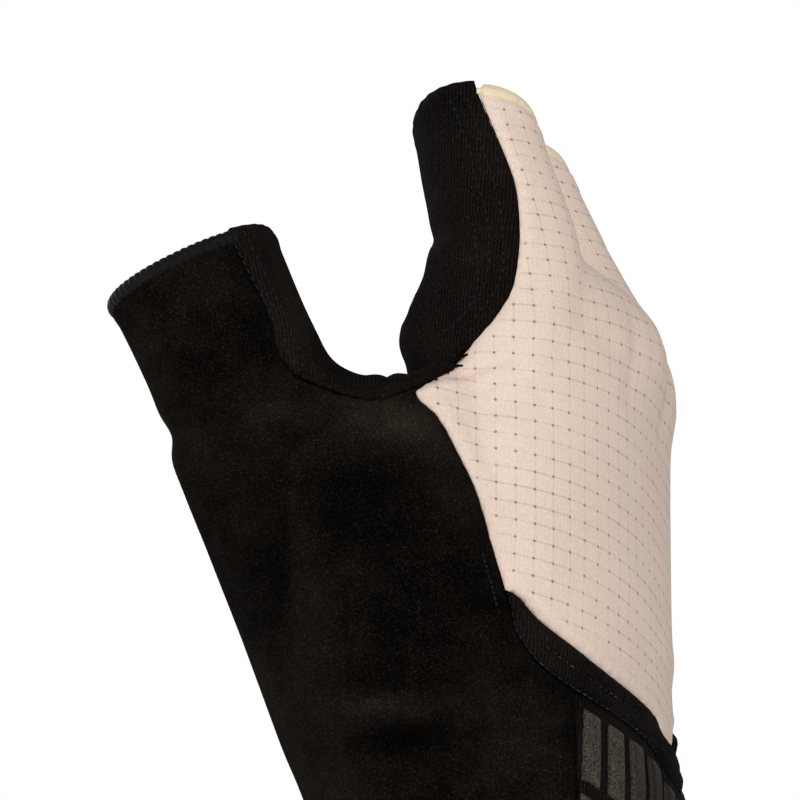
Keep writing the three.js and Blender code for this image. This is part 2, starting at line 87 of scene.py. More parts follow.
# Sections of the thumb. out is a share of THUMB_REACH, up of HAND_LENGTH, wide of THUMB_WIDTH, side of
# HAND_WIDTH and deep of THUMB_DEPTH, and slope is in degrees
# out, up, wide, slope, side, deep
THUMB_ROWS = [
    (0.31, 0.02, 0.75, 0, 0.02, 0.6), (0.5, 0.2, 1.25, 0, 0.09, 0.88), (0.575, 0.32, 1.45, 3, 0.174, 0.875),
    (0.617, 0.397, 1.54, 7, 0.233, 0.833), (0.7, 0.5575, 1.74, 10.3, 0.326, 0.75),
    (0.766, 0.67, 1.85, 16, 0.384, 0.63), (0.82, 0.764, 1.8, 21, 0.442, 0.55),
    (0.848, 0.8217, 1.235, 20, 0.488, 0.53), (0.858, 0.882, 0.986, 18, 0.535, 0.52),
    (0.918, 0.967, 0.969, 19.4, 0.558, 0.5), (0.992, 1.058, 0.995, 23.4, 0.581, 0.48),
]


def depth_at(up):
    return WRIST_DEPTH + (HAND_DEPTH - WRIST_DEPTH) * np.clip(up, 0, 1)


def width_at(up):
    return WRIST_WIDTH + (HAND_WIDTH - WRIST_WIDTH) * np.clip(up, 0, 1)


def hand_section(up, palm, back, side, drop):
    half = side * width_at(up)
    return [0, 0, up * HAND_LENGTH, 1, 0, 0, 0, 1, -drop * HAND_LENGTH / half,
            palm * depth_at(up), back * depth_at(up), half]


def finger_section(finger, row):
    _, length, knuckle, deep, lean, root_side, hem_side, slant, size, slim, crest = finger
    along, bend, palm, back, width, askew, root = row
    half = width * size * FINGER_WIDTH
    y = (root_side + (hem_side - root_side) * min(1, max(0, along))) * HAND_WIDTH
    return [deep * HAND_DEPTH - bend * lean * FINGER_DEPTH, y, knuckle * HAND_LENGTH + along * length,
            1, 0, askew * BACK_RISE, 0, 1, -askew * slant * FINGER_WIDTH / half,
            (palm - root * slim) * size * FINGER_DEPTH, (back + root * crest) * size * FINGER_DEPTH, half]


def thumb_section(out, up, wide, slope, side, deep):
    half = wide * THUMB_WIDTH / 2
    cos, sin = math.cos(math.radians(slope)), math.sin(math.radians(slope))
    return [-out * THUMB_REACH + cos * half, -side * HAND_WIDTH, up * HAND_LENGTH + sin * half,
            cos, 0, sin, 0, 1, 0, half, half, deep * THUMB_DEPTH]


def moved(section, distance):
    """A section pushed along its tube."""
    way = np.cross(section[3:6], section[6:9])
    return np.concatenate([section[:3] + way / np.linalg.norm(way) * distance, section[3:]])


def finer(sections, step=1.0, rounds=4):
    """The sections of a tube at even steps, with the kinks between them eased."""
    run = np.concatenate([[0], np.cumsum(np.linalg.norm(np.diff(sections[:, :3], axis=0), axis=1))])
    at = np.linspace(0, run[-1], int(run[-1] / step) + 2)
    fine = np.stack([np.interp(at, run, column) for column in sections.T], 1)
    for _ in range(rounds):
        fine[1:-1] = (fine[:-2] + 2 * fine[1:-1] + fine[2:]) / 4
    return fine


def rings(sections, sides, grow=0.0, turns=None):
    """The loops of points of a tube, grown outwards."""
    turns = np.linspace(0, 2 * np.pi, sides, endpoint=False) if turns is None else turns
    cos, sin = np.cos(turns), np.sin(turns)
    cos, sin = np.sign(cos) * abs(cos) ** SQUARENESS, np.sign(sin) * abs(sin) ** SQUARENESS
    reach = np.where(cos > 0, sections[:, 10:11], sections[:, 9:10]) + grow
    return (sections[:, None, :3] + sections[:, None, 3:6] * (cos * reach)[..., None]
            + sections[:, None, 6:9] * (sin * (sections[:, 11:12] + grow))[..., None])


hand = np.array([hand_section(*row) for row in HAND_ROWS])
thumb = np.array([thumb_section(*row) for row in THUMB_ROWS])
fingers = {f[0]: np.array([finger_section(f, row) for row in FINGER_ROWS]) for f in FINGERS}


def tube_faces(count, sides):
    """The faces of a tube of so many loops, closed at both ends."""
    faces = []
    for k in range(count - 1):
        for i in range(sides):
            j = (i + 1) % sides
            faces.append((k * sides + i, k * sides + j, (k + 1) * sides + j, (k + 1) * sides + i))
    faces.append(tuple(range(sides))[::-1])
    faces.append(tuple(range((count - 1) * sides, count * sides)))
    return faces


def joined_form():
    """The hand, thumb and finger tubes melted into one closed skin of small even faces."""
    points, faces = [], []
    tubes = [np.vstack([moved(hand[0], -PAST_END)[None], hand]),
             np.vstack([thumb, moved(thumb[-1], PAST_END)[None]])]
    lift = np.eye(len(hand[0]))[2] * PAST_END
    tubes += [np.vstack([f, f[-1:] + lift]) for f in fingers.values()]
    for sections in tubes:
        loops = rings(finer(sections), TUBE_SIDES, -SLIMMED)
        start = sum(len(p) for p in points)
        faces += [tuple(start + i for i in face) for face in tube_faces(len(loops), TUBE_SIDES)]
        points.append(loops.reshape(-1, 3))
    rough = bpy.data.meshes.new("rough_form")
    rough.from_pydata(np.vstack(points).tolist(), [], faces)
    holder = bpy.data.objects.new("rough_form", rough)
    bpy.context.scene.collection.objects.link(holder)
    remesh = holder.modifiers.new("melt", "REMESH")
    remesh.mode, remesh.voxel_size, remesh.adaptivity = "VOXEL", SKIN_STEP, 0
    skin = holder.evaluated_get(bpy.context.evaluated_depsgraph_get()).to_mesh()
    spots = np.empty(len(skin.vertices) * 3)
    skin.vertices.foreach_get("co", spots)
    corners = np.empty(len(skin.loop_triangles) * 3, np.int32)
    skin.loop_triangles.foreach_get("vertices", corners)
    bpy.data.objects.remove(holder)
    bpy.data.meshes.remove(rough)
    return spots.reshape(-1, 3), corners.reshape(-1, 3)


def edges_of(faces):
    """Every side of the faces once, as pairs of point numbers."""
    pairs = np.sort(np.concatenate([faces[:, [0, 1]], faces[:, [1, 2]], faces[:, [2, 0]]]), axis=1)
    return np.unique(pairs, axis=0)


def eased(points, edges, rounds, share=0.5):
    """Points drawn towards the middle of their neighbours, by one share or one for each point."""
    a, b = edges.T
    count = len(points)
    near = np.bincount(a, minlength=count) + np.bincount(b, minlength=count)
    share = np.broadcast_to(share, count)[:, None]
    for _ in range(rounds):
        total = np.stack([np.bincount(a, points[b, k], count) + np.bincount(b, points[a, k], count)
                          for k in range(3)], 1)
        points = points + (total / near[:, None] - points) * share
    return points


def normals_of(points, faces):
    a, b, c = points[faces[:, 0]], points[faces[:, 1]], points[faces[:, 2]]
    flat = np.cross(b - a, c - a)
    whole = np.stack([sum(np.bincount(faces[:, i], flat[:, k], len(points)) for i in range(3))
                      for k in range(3)], 1)
    return whole / np.maximum(np.linalg.norm(whole, axis=1), 1e-9)[:, None]


# The crotches between the fingers, and less so the one at the thumb, are eased more than the rest:
# their height over places across the hand, and how far up and down that reaches
CROTCH_PLACES, CROTCH_HEIGHTS, CROTCH_SPREAD = [-60, -40, 20, 45], [96, 110, 108, 100], 9
WEB_EASE, WEB_SIDE, WEB_SPREAD = 0.25, 36, 10
EASE_ALL, EASE_CROTCH = 6, 20
form_points, form_faces = joined_form()
form_edges = edges_of(form_faces)
crotch_height = np.interp(form_points[:, 1], CROTCH_PLACES, CROTCH_HEIGHTS)
near_crotch = np.exp(-((form_points[:, 2] - crotch_height) / CROTCH_SPREAD) ** 2)
form_points = eased(form_points, form_edges, EASE_ALL)
beside_web = WEB_EASE + (1 - WEB_EASE) * np.clip((form_points[:, 1] + WEB_SIDE) / WEB_SPREAD, 0, 1)
form_points = eased(form_points, form_edges, EASE_CROTCH, 0.5 * near_crotch * beside_web)
form_points = form_points + normals_of(form_points, form_faces) * SLIMMED
form_normals = normals_of(form_points, form_faces)
form_tree = BVHTree.FromPolygons(form_points.tolist(), form_faces.tolist())
plain_points, plain_tree = form_points.copy(), form_tree
SIGHT = 200.0
THUMB_HALF = -8.0
VIEWS = {
    "thumb": lambda a, b: ((a, -SIGHT, b), (0, 1, 0)),
    "little": lambda a, b: ((a, SIGHT, b), (0, -1, 0)),
    "back": lambda a, b: ((SIGHT, a, b), (-1, 0, 0)),
    "palm": lambda a, b: ((-SIGHT, a, b), (1, 0, 0)),
}


def met_from(view, a, b):
    """Where a line of sight from one side meets the form. a is x from the thumb or the little side
    and y from the back or the palm, and b is the height."""
    start, way = VIEWS[view](a, b)
    spot, normal, _, _ = form_tree.ray_cast(Vector(start), Vector(way))
    missed = spot is None or (view == "thumb" and spot.y > THUMB_HALF)
    return None if missed else (np.array(spot), np.array(normal))


# Folds and dents: the side they are seen from, two ends in that view, height outwards and half width
FOLDS = [
    ("thumb", -26, 46.5, -7, 43.2, 1.1, 2.8), ("thumb", -24, 40.4, -6, 40, -1.1, 2.8),
    ("thumb", -30, 44.5, -22, 48.5, 0.5, 2.5), ("thumb", -5, 39, 5, 43, -0.5, 2.5),
    ("thumb", -17, 91, -10, 89, 0.9, 6.5), ("thumb", -34, 92, -28, 84, -0.5, 5),
    ("thumb", -53, 90, -45, 89, -0.9, 2.6), ("thumb", -50, 93.5, -42, 93, 0.5, 2.5),
    ("thumb", -44, 104, -38, 84, -0.45, 3.5), ("thumb", -20, 66, -14, 50, -0.5, 5),
    ("thumb", -28, 75, -18, 56, 0.45, 4.5), ("thumb", -12, 80, -8, 66, -0.35, 4),
    ("thumb", -6, 98.6, 3, 101.6, -0.9, 1.0), ("thumb", 3, 101.6, 13, 104.3, -0.6, 1.2),
    ("thumb", -8, 94.4, 6, 99.9, -0.8, 1.1), ("thumb", -5, 92.2, 10, 95.5, -0.55, 1.2),
    ("thumb", -4, 96.6, 5, 100.6, 0.5, 1.0), ("thumb", 0, 104, 12, 107, -0.6, 1.2),
    ("thumb", -9, 125.3, -2, 125.7, -1.3, 1.5), ("thumb", -2, 125.7, 3.5, 127.3, -0.6, 1.3),
    ("thumb", -9, 128.6, -2, 128.6, 0.45, 1.8), ("thumb", -9, 121, -3, 122.5, 0.5, 2),
    ("thumb", -10, 112, -5, 109, -0.5, 1.6), ("thumb", -38, 119, -29, 100, -0.35, 1.4),
    ("thumb", -29, 103, -31, 97, -0.5, 1.6), ("thumb", 3, 64, 12, 57, -0.3, 1.5),
    ("thumb", 3, 72, 9, 66, -0.3, 2.2), ("back", -36, 112, -22, 103, -0.4, 2.5),
    ("back", -19, 114, -20, 100, -0.7, 2.6), ("back", 1, 114, 0, 98, -0.8, 2.8),
    ("back", 21, 110, 20, 95, -0.8, 2.8), ("back", -28, 62, 20, 54, -0.35, 3),
    ("back", -20, 57, 26, 61, 0.3, 2.6), ("back", -30, 72, -8, 66, 0.25, 2.4),
    ("back", -9, 127, 3, 126, -0.3, 1.5), ("back", 8, 120, 19, 121, -0.3, 1.5),
    ("palm", -34, 104, 34, 94, -0.8, 2.2), ("palm", -30, 99, 30, 90, 0.4, 2.6),
    ("palm", -26, 84, 12, 74, -0.6, 2.4), ("palm", -12, 88, -4, 30, -0.6, 2.6),
    ("palm", 6, 76, 30, 66, -0.4, 2.4), ("palm", -30, 22, 26, 18, -0.6, 2.4),
    ("palm", -26, 27, 22, 24, 0.5, 2.6), ("palm", -34, 124.5, -20, 125.5, -0.8, 1.6),
    ("palm", -16, 122, -3, 122, -0.8, 1.6), ("palm", 5, 117, 18, 117, -0.8, 1.6),
    ("palm", 25, 110, 37, 110, -0.7, 1.6), ("palm", -33, 104, -33, 112, 1.7, 5),
    ("palm", -34, 118, -34, 134, 0.6, 5), ("back", -14, 112, -6, 111, 1.2, 8),
    ("back", -16, 97, 8, 96, -0.5, 7), ("thumb", -26, 94.5, -10, 96.5, -1.1, 3.4),
    ("palm", -56, 84, -50, 88, 0.9, 5), ("thumb", -27, 98, -8, 98.5, -1.3, 3),
    ("thumb", -28, 101.5, -13, 100, -1.7, 4), ("back", 2, 42, 22, 42, -1.6, 7),
    ("palm", -58, 92, -40, 90, -0.7, 2.2), ("little", -12, 92, 6, 95, -0.5, 2.2),
    ("little", -10, 60, 12, 64, -0.35, 3), ("little", -8, 98, 4, 97, 0.3, 2),
]


FOLD_END = 0.35
DEEPEST_FOLD = 1.8
CLOTH_RISE = 0.25
SMALL_CREASES = 70


def fold_relief(points, spots, height, width):
    """The height of one fold over every point, which fades towards the ends of its line of spots."""
    gap = np.full(len(points), 1e9)
    for start, end in zip(spots[:-1], spots[1:]):
        way = end - start
        share = np.clip(((points - start) @ way) / max(way @ way, 1e-9), 0, 1)
        gap = np.minimum(gap, np.linalg.norm(points - start - share[:, None] * way, axis=1))
    whole = spots[-1] - spots[0]
    run = np.clip(((points - spots[0]) @ whole) / max((whole ** 2).sum(), 1e-9), 0, 1)
    fade = FOLD_END + (1 - FOLD_END) * np.sin(np.pi * (0.12 + 0.76 * run))
    return height * np.exp(-(gap / width) ** 2) * fade


relief = np.zeros(len(form_points))
for view, a0, b0, a1, b1, height, width in FOLDS:
    met = [met_from(view, a0 + (a1 - a0) * s, b0 + (b1 - b0) * s) for s in np.linspace(0, 1, 7)]
    spots = [m[0] for m in met if m is not None]
    if len(spots) > 1:
        relief += fold_relief(form_points, spots, height, width)
chance = np.random.default_rng(7)
for _ in range(SMALL_CREASES):
    spot = form_points[chance.integers(len(form_points))]
    way = chance.normal(size=3) * [1, 1, 0.35]
    way *= chance.uniform(4, 13) / np.linalg.norm(way)
    relief += fold_relief(form_points, [spot - way / 2, spot + way / 2],
                          chance.uniform(-0.28, 0.28), chance.uniform(1.6, 4))
relief = CLOTH_RISE + np.clip(relief, -DEEPEST_FOLD, DEEPEST_FOLD)
form_points = form_points + form_normals * relief[:, None]
form_points = eased(form_points, form_edges, 2)
form_normals = normals_of(form_points, form_faces)
form_tree = BVHTree.FromPolygons(form_points.tolist(), form_faces.tolist())

# Seam lines seen from the thumb side: deep is a share of the hand's depth there, up of HAND_LENGTH and
# along of INDEX_LENGTH. The thumb's lines hold out, a share of THUMB_REACH, and up
# deep, up, along
FINGER_SEAM = [
    (-0.13, 1, 1.5), (-0.1, 1, 1.34), (-0.051, 1, 1.13), (0.037, 1, 0.931), (0.137, 1, 0.703),
    (0.166, 1, 0.541), (0.171, 1, 0.385), (0.143, 1, 0.205), (0.06, 1, 0.074),
]
THUMB_SIDE_SEAM = [
    (-0.118, 0.962, 0), (-0.25, 0.919, 0), (-0.25, 0.898, 0), (-0.165, 0.865, 0), (-0.086, 0.81, 0),
    (-0.011, 0.749, 0), (0.036, 0.68, 0),
]
LITTLE_SIDE_SEAM = [
    (-0.25, 1, 1.5), (-0.25, 1, 1.2), (-0.21, 1, 0.75), (-0.16, 1, 0.55), (-0.09, 1, 0.36),
    (-0.01, 1, 0.15), (0.03, 1, 0), (0.01, 0.92, 0), (0.02, 0.8, 0), (0.05, 0.7, 0),
]
CUFF_LINE = [
    (0.086, 0.605, 0), (0.139, 0.594, 0), (0.216, 0.561, 0), (0.393, 0.505, 0), (0.543, 0.455, 0),
    (0.574, 0.421, 0), (0.61, 0.397, 0), (0.7, 0.385, 0),
]
BAND_LINE = [
    (0.111, 0.572, 0), (0.123, 0.545, 0), (0.176, 0.508, 0), (0.238, 0.483, 0), (0.33, 0.457, 0),
    (0.486, 0.418, 0), (0.548, 0.392, 0), (0.585, 0.357, 0), (0.63, 0.328, 0), (0.72, 0.31, 0),
]
# out, up
THUMB_SEAM = [(0.76, 1.4), (0.7, 1.29), (0.628, 1.15), (0.543, 1.039), (0.49, 0.958), (0.456, 0.929)]
BINDING_LINE = [(0.456, 0.929), (0.354, 0.91), (0.266, 0.901), (0.18, 0.92)]
CROTCH_LINE = [(0.197, 0.9), (0.385, 1.038)]
FAR = 250.0
CURVE_STEPS = 5


def seam_point(row):
    deep, up, along = row
    return deep * depth_at(up), up * HAND_LENGTH + along * INDEX_LENGTH


def thumb_point(row):
    out, up = row
    return -out * THUMB_REACH, up * HAND_LENGTH


def curve(line, steps=CURVE_STEPS):
    """A smooth line through the points of a table."""
    line = np.array(line, float)
    ends = np.vstack([2 * line[0] - line[1], line, 2 * line[-1] - line[-2]])
    made = []
    for p0, p1, p2, p3 in zip(ends[:-3], ends[1:-2], ends[2:-1], ends[3:]):
        for t in np.arange(steps) / steps:
            bend = 2 * p0 - 5 * p1 + 4 * p2 - p3 + t * (3 * (p1 - p2) + p3 - p0)
            made.append(p1 + 0.5 * t * (p2 - p0 + t * bend))
    return np.array(made + [line[-1]])


finger_seam = curve([seam_point(r) for r in FINGER_SEAM])
thumb_side_seam = curve([seam_point(r) for r in THUMB_SIDE_SEAM])
little_side_seam = curve([seam_point(r) for r in LITTLE_SIDE_SEAM])
cuff_line = curve([seam_point(r) for r in CUFF_LINE])
band_line = curve([seam_point(r) for r in BAND_LINE])
thumb_seam = curve([thumb_point(r) for r in THUMB_SEAM])
binding_line = curve([thumb_point(r) for r in BINDING_LINE] + [seam_point(THUMB_SIDE_SEAM[0])])


def reach_in(points, outline):
    """How far each point lies inside an outline seen from the side, and negative outside it."""
    outline = np.array(outline)
    nxt = np.roll(outline, -1, 0)
    way = nxt - outline
    found = []
    for chunk in np.array_split(points[:, [0, 2]], max(1, len(points) // 12000)):
        p = chunk[:, None]
        share = np.clip(((p - outline) * way).sum(2) / np.maximum((way * way).sum(1), 1e-9), 0, 1)
        gap = np.sqrt(((outline + share[..., None] * way - p) ** 2).sum(2)).min(1)
        straddles = (outline[:, 1] > p[..., 1]) != (nxt[:, 1] > p[..., 1])
        slope = way[:, 0] / np.where(way[:, 1] == 0, 1e-9, way[:, 1])
        crosses = straddles & (p[..., 0] < outline[:, 0] + (p[..., 1] - outline[:, 1]) * slope)
        found.append(np.where(crosses.sum(1) % 2 == 1, gap, -gap))
    return np.concatenate(found)


thumb_side_line = np.vstack([finger_seam, thumb_side_seam, cuff_line])
little_side_line = np.vstack([little_side_seam, cuff_line])
BACK_MIDDLE = 4.0


def back_outline(line):
    return np.vstack([[line[0][0], FAR], line, [FAR, line[-1][1]], [FAR, FAR]])


def in_back(points):
    side = np.clip((points[:, 1] + BACK_MIDDLE) / (2 * BACK_MIDDLE), 0, 1)
    return reach_in(points, back_outline(thumb_side_line)) * (1 - side) \
        + reach_in(points, back_outline(little_side_line)) * side


def in_band(points):
    return reach_in(points, np.vstack([
        cuff_line, [FAR, cuff_line[-1][1]], [FAR, band_line[-1][1]], band_line[::-1]]))


CUFF_EDGE_X = 0.3 * WRIST_DEPTH
CUFF_CORNER_ROW = 4
corner_row = CUFF_CORNER_ROW * CURVE_STEPS


def in_cuff(points):
    return reach_in(points, np.vstack([
        [CUFF_EDGE_X, -FAR], band_line[corner_row:], [FAR, band_line[-1][1]], [FAR, -FAR]]))


def in_knit(points):
    end = binding_line[-1]
    return reach_in(points, np.vstack([
        [thumb_seam[0][0], FAR], thumb_seam, binding_line[1:], [FAR, end[1]], [FAR, FAR]]))


def on_thumb_side(points):
    low, high = [thumb_point(row) for row in CROTCH_LINE]
    side = reach_in(points, [(-FAR, -FAR), (low[0], -FAR), low, high, (high[0], FAR), (-FAR, FAR)])
    return np.minimum(side, -points[:, 1])


INDEX_LAP = 0.12
THUMB_BEYOND = -24
WRIST_TURN = 0.15
SEAM_ROOM = 0.08


def on_index_side(points):
    low, high = fingers["index"][0], moved(fingers["index"][-1], PAST_END)
    share = (points[:, 2] - low[2]) / (high[2] - low[2])
    return low[1] + (high[1] - low[1]) * share + INDEX_LAP * FINGER_WIDTH - points[:, 1]


def below_ends(points, down=0.9):
    """How far each point lies inside the open ends of the fingers, the thumb and the wrist."""
    names = list(fingers)
    middles = np.stack([np.interp(points[:, 2], f[:, 2], f[:, 1]) for f in fingers.values()], 1)
    nearest = abs(points[:, 1:2] - middles).argmin(1)
    room = points[:, 2] - WRIST_TURN
    for i, name in enumerate(names):
        last = fingers[name][-1]
        way = np.cross(last[3:6], last[6:9])
        gap = (last[:3] - points) @ (way / np.linalg.norm(way)) - down
        room = np.where((nearest == i) & (points[:, 0] > THUMB_BEYOND), np.minimum(room, gap), room)
    way = np.cross(thumb[-1][3:6], thumb[-1][6:9])
    gap = (thumb[-1][:3] - points) @ (way / np.linalg.norm(way)) - down
    return np.where(points[:, 0] <= THUMB_BEYOND, np.minimum(room, gap), room)


def cut(points, faces, reach):
    """The part of a skin where reach is above zero, with a clean border. Each point is a row that
    holds its place, its outward direction and its place on the plain form."""
    def turned(some, flag):
        return np.take_along_axis(some, (flag[some].argmax(1)[:, None] + np.arange(3)) % 3, 1)

    inside = reach > 0
    count = inside[faces].sum(1)
    one, two = turned(faces[count == 1], inside), turned(faces[count == 2], ~inside)
    pairs = np.concatenate([one[:, [0, 1]], one[:, [0, 2]], two[:, [0, 1]], two[:, [0, 2]]])
    low, high = pairs.min(1), pairs.max(1)
    key = low.astype(np.int64) * len(points) + high
    _, first, back = np.unique(key, return_index=True, return_inverse=True)
    low, high = low[first], high[first]
    share = (reach[low] / (reach[low] - reach[high]))[:, None]
    points2 = np.vstack([points, points[low] + (points[high] - points[low]) * share])
    new = len(points) + back.reshape(-1)
    n1, n2 = len(one), len(two)
    a1, b1, a2, b2 = new[:n1], new[n1:2 * n1], new[2 * n1:2 * n1 + n2], new[2 * n1 + n2:]
    faces2 = np.concatenate([
        faces[count == 3], np.stack([one[:, 0], a1, b1], 1),
        np.stack([a2, two[:, 1], two[:, 2]], 1), np.stack([a2, two[:, 2], b2], 1)])
    used, packed = np.unique(faces2, return_inverse=True)
    return points2[used], packed.reshape(-1, 3)


def largest(points, faces):
    """Only the biggest connected patch of a skin."""
    label = np.arange(len(points))
    a, b = edges_of(faces).T
    while True:
        before = label.copy()
        np.minimum.at(label, a, label[b])
        np.minimum.at(label, b, label[a])
        label = label[label]
        if (label == before).all():
            break
    top = np.bincount(label).argmax()
    faces = faces[label[faces[:, 0]] == top]
    used, packed = np.unique(faces, return_inverse=True)
    return points[used], packed.reshape(-1, 3)


def borders(faces):
    """The closed border loops of a skin, as lists of point numbers."""
    sides = np.concatenate([faces[:, [0, 1]], faces[:, [1, 2]], faces[:, [2, 0]]])
    size = sides.max() + 1
    forward = sides[:, 0].astype(np.int64) * size + sides[:, 1]
    open_sides = sides[~np.isin(forward, sides[:, 1].astype(np.int64) * size + sides[:, 0])]
    after, loops = dict(map(tuple, open_sides.tolist())), []
    while after:
        start, here = next(iter(after.items()))
        del after[start]
        loop = [start]
        while here in after:
            loop.append(here)
            here = after.pop(here)
        loops.append(loop)
    return open_sides, loops


def cut_out(reaches):
    """A panel's outer skin: the form cut by each reach in turn, and for each point its distance to
    the border and how far along the border that is."""
    points, faces = np.hstack([form_points, form_normals, plain_points]), form_faces
    for reach in reaches:
        points, faces = cut(points, faces, reach(points[:, 6:]) - SEAM_ROOM)
    points, faces = largest(points, faces)
    points, normals = points[:, :3], points[:, 3:6] / np.linalg.norm(points[:, 3:6], axis=1)[:, None]
    open_sides, loops = borders(faces)
    rim = np.concatenate([np.array(loop) for loop in loops])
    strides = [np.diff(points[loop], axis=0, prepend=points[loop][:1]) for loop in loops]
    run = np.concatenate([np.cumsum(np.linalg.norm(stride, axis=1)) for stride in strides])
    tree = KDTree(len(rim))
    for i, spot in enumerate(points[rim].tolist()):
        tree.insert(spot, i)
    tree.balance()
    found = [tree.find(spot) for spot in points.tolist()]
    edge = np.array([f[2] for f in found])
    along = run[[f[1] for f in found]]
    return points, faces, normals, open_sides, edge, along


def rolled(points, normals, edge, along, depth=0.55, width=1.3, pucker=0.12, pitch=2.6):
    """The border of a sewn panel turned down into its seam, and pulled in a little at each stitch."""
    down = depth * np.clip(1 - edge / width, 0, 1) ** 1.7
    swell = 0.22 * np.exp(-((edge - 2.0) / 1.1) ** 2)
    pull = pucker * np.sin(2 * np.pi * along / pitch) * np.exp(-(edge / 2.2) ** 2)
    return points + normals * (swell + pull - down)[:, None]


def skin_mesh(name, points, faces, normals, open_sides, wall, facts):
    """A closed sheet of cloth from its outer skin, with what its finish reads kept on every point."""
    count = len(points)
    whole = np.vstack([points, points - normals * wall]) * MM
    a, b = open_sides.T
    rim = np.concatenate([np.stack([b, a, a + count], 1), np.stack([b, a + count, b + count], 1)])
    every = np.concatenate([faces, faces[:, ::-1] + count, rim])
    mesh = bpy.data.meshes.new(name)
    mesh.vertices.add(len(whole))
    mesh.vertices.foreach_set("co", whole.astype(np.float32).ravel())
    mesh.loops.add(len(every) * 3)
    mesh.loops.foreach_set("vertex_index", every.astype(np.int32).ravel())
    mesh.polygons.add(len(every))
    mesh.polygons.foreach_set("loop_start", np.arange(0, len(every) * 3, 3, dtype=np.int32))
    mesh.update(calc_edges=True)
    mesh.shade_smooth()
    kept = mesh.attributes.new("laid", "FLOAT_VECTOR", "POINT")
    kept.data.foreach_set("vector", np.tile(facts, (2, 1)).astype(np.float32).ravel())
    obj = bpy.data.objects.new(name, mesh)
    bpy.context.scene.collection.objects.link(obj)
    return obj


def written(kind, swapped=False):
    """What a plus, minus or like sign between two values of a finish adds to its nodes."""
    def sign(self, other):
        return self.worked(kind, other, swapped)
    return sign


class Wire:
    """A socket of a finish, on which plain sums can be written."""

    def __init__(self, finish, socket):
        self.finish, self.socket = finish, socket

    def worked(self, kind, other=None, swapped=False):
        first, second = (other, self) if swapped else (self, other)
        values = {0: first} if other is None else {0: first, 1: second}
        return self.finish.node("ShaderNodeMath", {"operation": kind}, values)

    __add__, __radd__ = written("ADD"), written("ADD", True)
    __sub__, __rsub__ = written("SUBTRACT"), written("SUBTRACT", True)
    __mul__, __rmul__ = written("MULTIPLY"), written("MULTIPLY", True)
    __truediv__, __rtruediv__ = written("DIVIDE"), written("DIVIDE", True)
    __pow__, __rpow__ = written("POWER"), written("POWER", True)


class Finish:
    """A material built node by node on one shader."""

    def __init__(self, name, **even):
        self.material = bpy.data.materials.new(name)
        self.material.use_nodes = True
        self.tree = self.material.node_tree
        self.shader = self.tree.nodes["Principled BSDF"]
        for socket, value in even.items():
            self.shader.inputs[socket.replace("_", " ")].default_value = value

    def node(self, kind, settings, sockets, out=0):
        made = self.tree.nodes.new(kind)
        for key, value in settings.items():
            if key == "stops":
                ramp = made.color_ramp
                while len(ramp.elements) < len(value):
                    ramp.elements.new(0.5)
                for element, (at, colour) in zip(ramp.elements, value):
                    element.position, element.color = at, colour
            else:
                setattr(made, key, value)
        for key, value in sockets.items():
            if isinstance(value, Wire):
                self.tree.links.new(value.socket, made.inputs[key])
            else:
                made.inputs[key].default_value = value
        return Wire(self, made.outputs[out])

    def noise(self, scale, detail=2.0, stretch=(1, 1, 1), rough=0.5):
        place = self.node("ShaderNodeTexCoord", {}, {}, 3)
        place = self.node("ShaderNodeVectorMath", {"operation": "MULTIPLY"}, {0: place, 1: stretch})
        return self.node("ShaderNodeTexNoise", {}, {"Vector": place, "Scale": scale, "Detail": detail,
                                                    "Roughness": rough})

    def ramp(self, value, low, high, dark=0.0, light=1.0):
        return self.node("ShaderNodeMapRange", {"clamp": True},
                         {0: value, 1: low, 2: high, 3: dark, 4: light})

    def blend(self, share, first, second):
        return self.node("ShaderNodeMix", {"data_type": "RGBA"}, {0: share, 6: first, 7: second}, 2)

    def laid(self):
        """Across, up and distance to the border, in millimetres along the cloth."""
        kept = self.node("ShaderNodeAttribute", {"attribute_name": "laid"}, {}, 1)
        split = self.node("ShaderNodeSeparateXYZ", {}, {0: kept})
        outs = split.socket.node.outputs
        return [Wire(self, outs[k]) for k in range(3)]

    def put(self, **sockets):
        for socket, wire in sockets.items():
            self.tree.links.new(wire.socket, self.shader.inputs[socket.replace("_", " ")])

    def bumped(self, height, depth_mm):
        sockets = {"Strength": 1.0, "Distance": depth_mm * MM, "Height": height}
        self.put(Normal=self.node("ShaderNodeBump", {}, sockets))


SUEDE_DARK, SUEDE_LIGHT = (0.0006, 0.0004, 0.0003, 1), (0.07, 0.053, 0.04, 1)
SUEDE_AT_SEAM = (0.008, 0.0075, 0.0075, 1)
suede = Finish("black_suede", Roughness=0.97, Sheen_Weight=0.004, Sheen_Roughness=0.5,
               Sheen_Tint=(1, 0.85, 0.7, 1), Specular_IOR_Level=0.02)
nap_and_painted_light, _, border = suede.laid()
patches = suede.ramp(suede.noise(48, 3, (1, 1, 0.8)), 0.4, 0.68)
mottle = suede.ramp(suede.noise(230, 4, rough=0.7), 0.36, 0.68)
nap = suede.ramp(suede.noise(2900, 3, rough=0.75), 0.36, 0.68)
speck = suede.ramp(suede.noise(4300, 1), 0.56, 0.72)
# The last term paints highlights on fold ridges and bulges and shade in fold valleys, mixed with the nap's
# own lightness.
lit = patches * 0.2 + mottle * 0.14 + nap * 0.26 + speck * 0.4 + nap_and_painted_light * 0.34
colour = suede.blend(suede.ramp(lit, 0.0, 1.1) ** 2, SUEDE_DARK, SUEDE_LIGHT)
worn = suede.ramp(border, 0.0, 1.6, 1.0, 0.0)
suede.put(Base_Color=suede.blend(worn * 0.3, colour, SUEDE_AT_SEAM),
          Roughness=suede.ramp(nap, 0, 1, 0.92, 1.0))
suede.bumped(nap * 0.6 + mottle * 0.5 + patches * 0.5, 0.3)


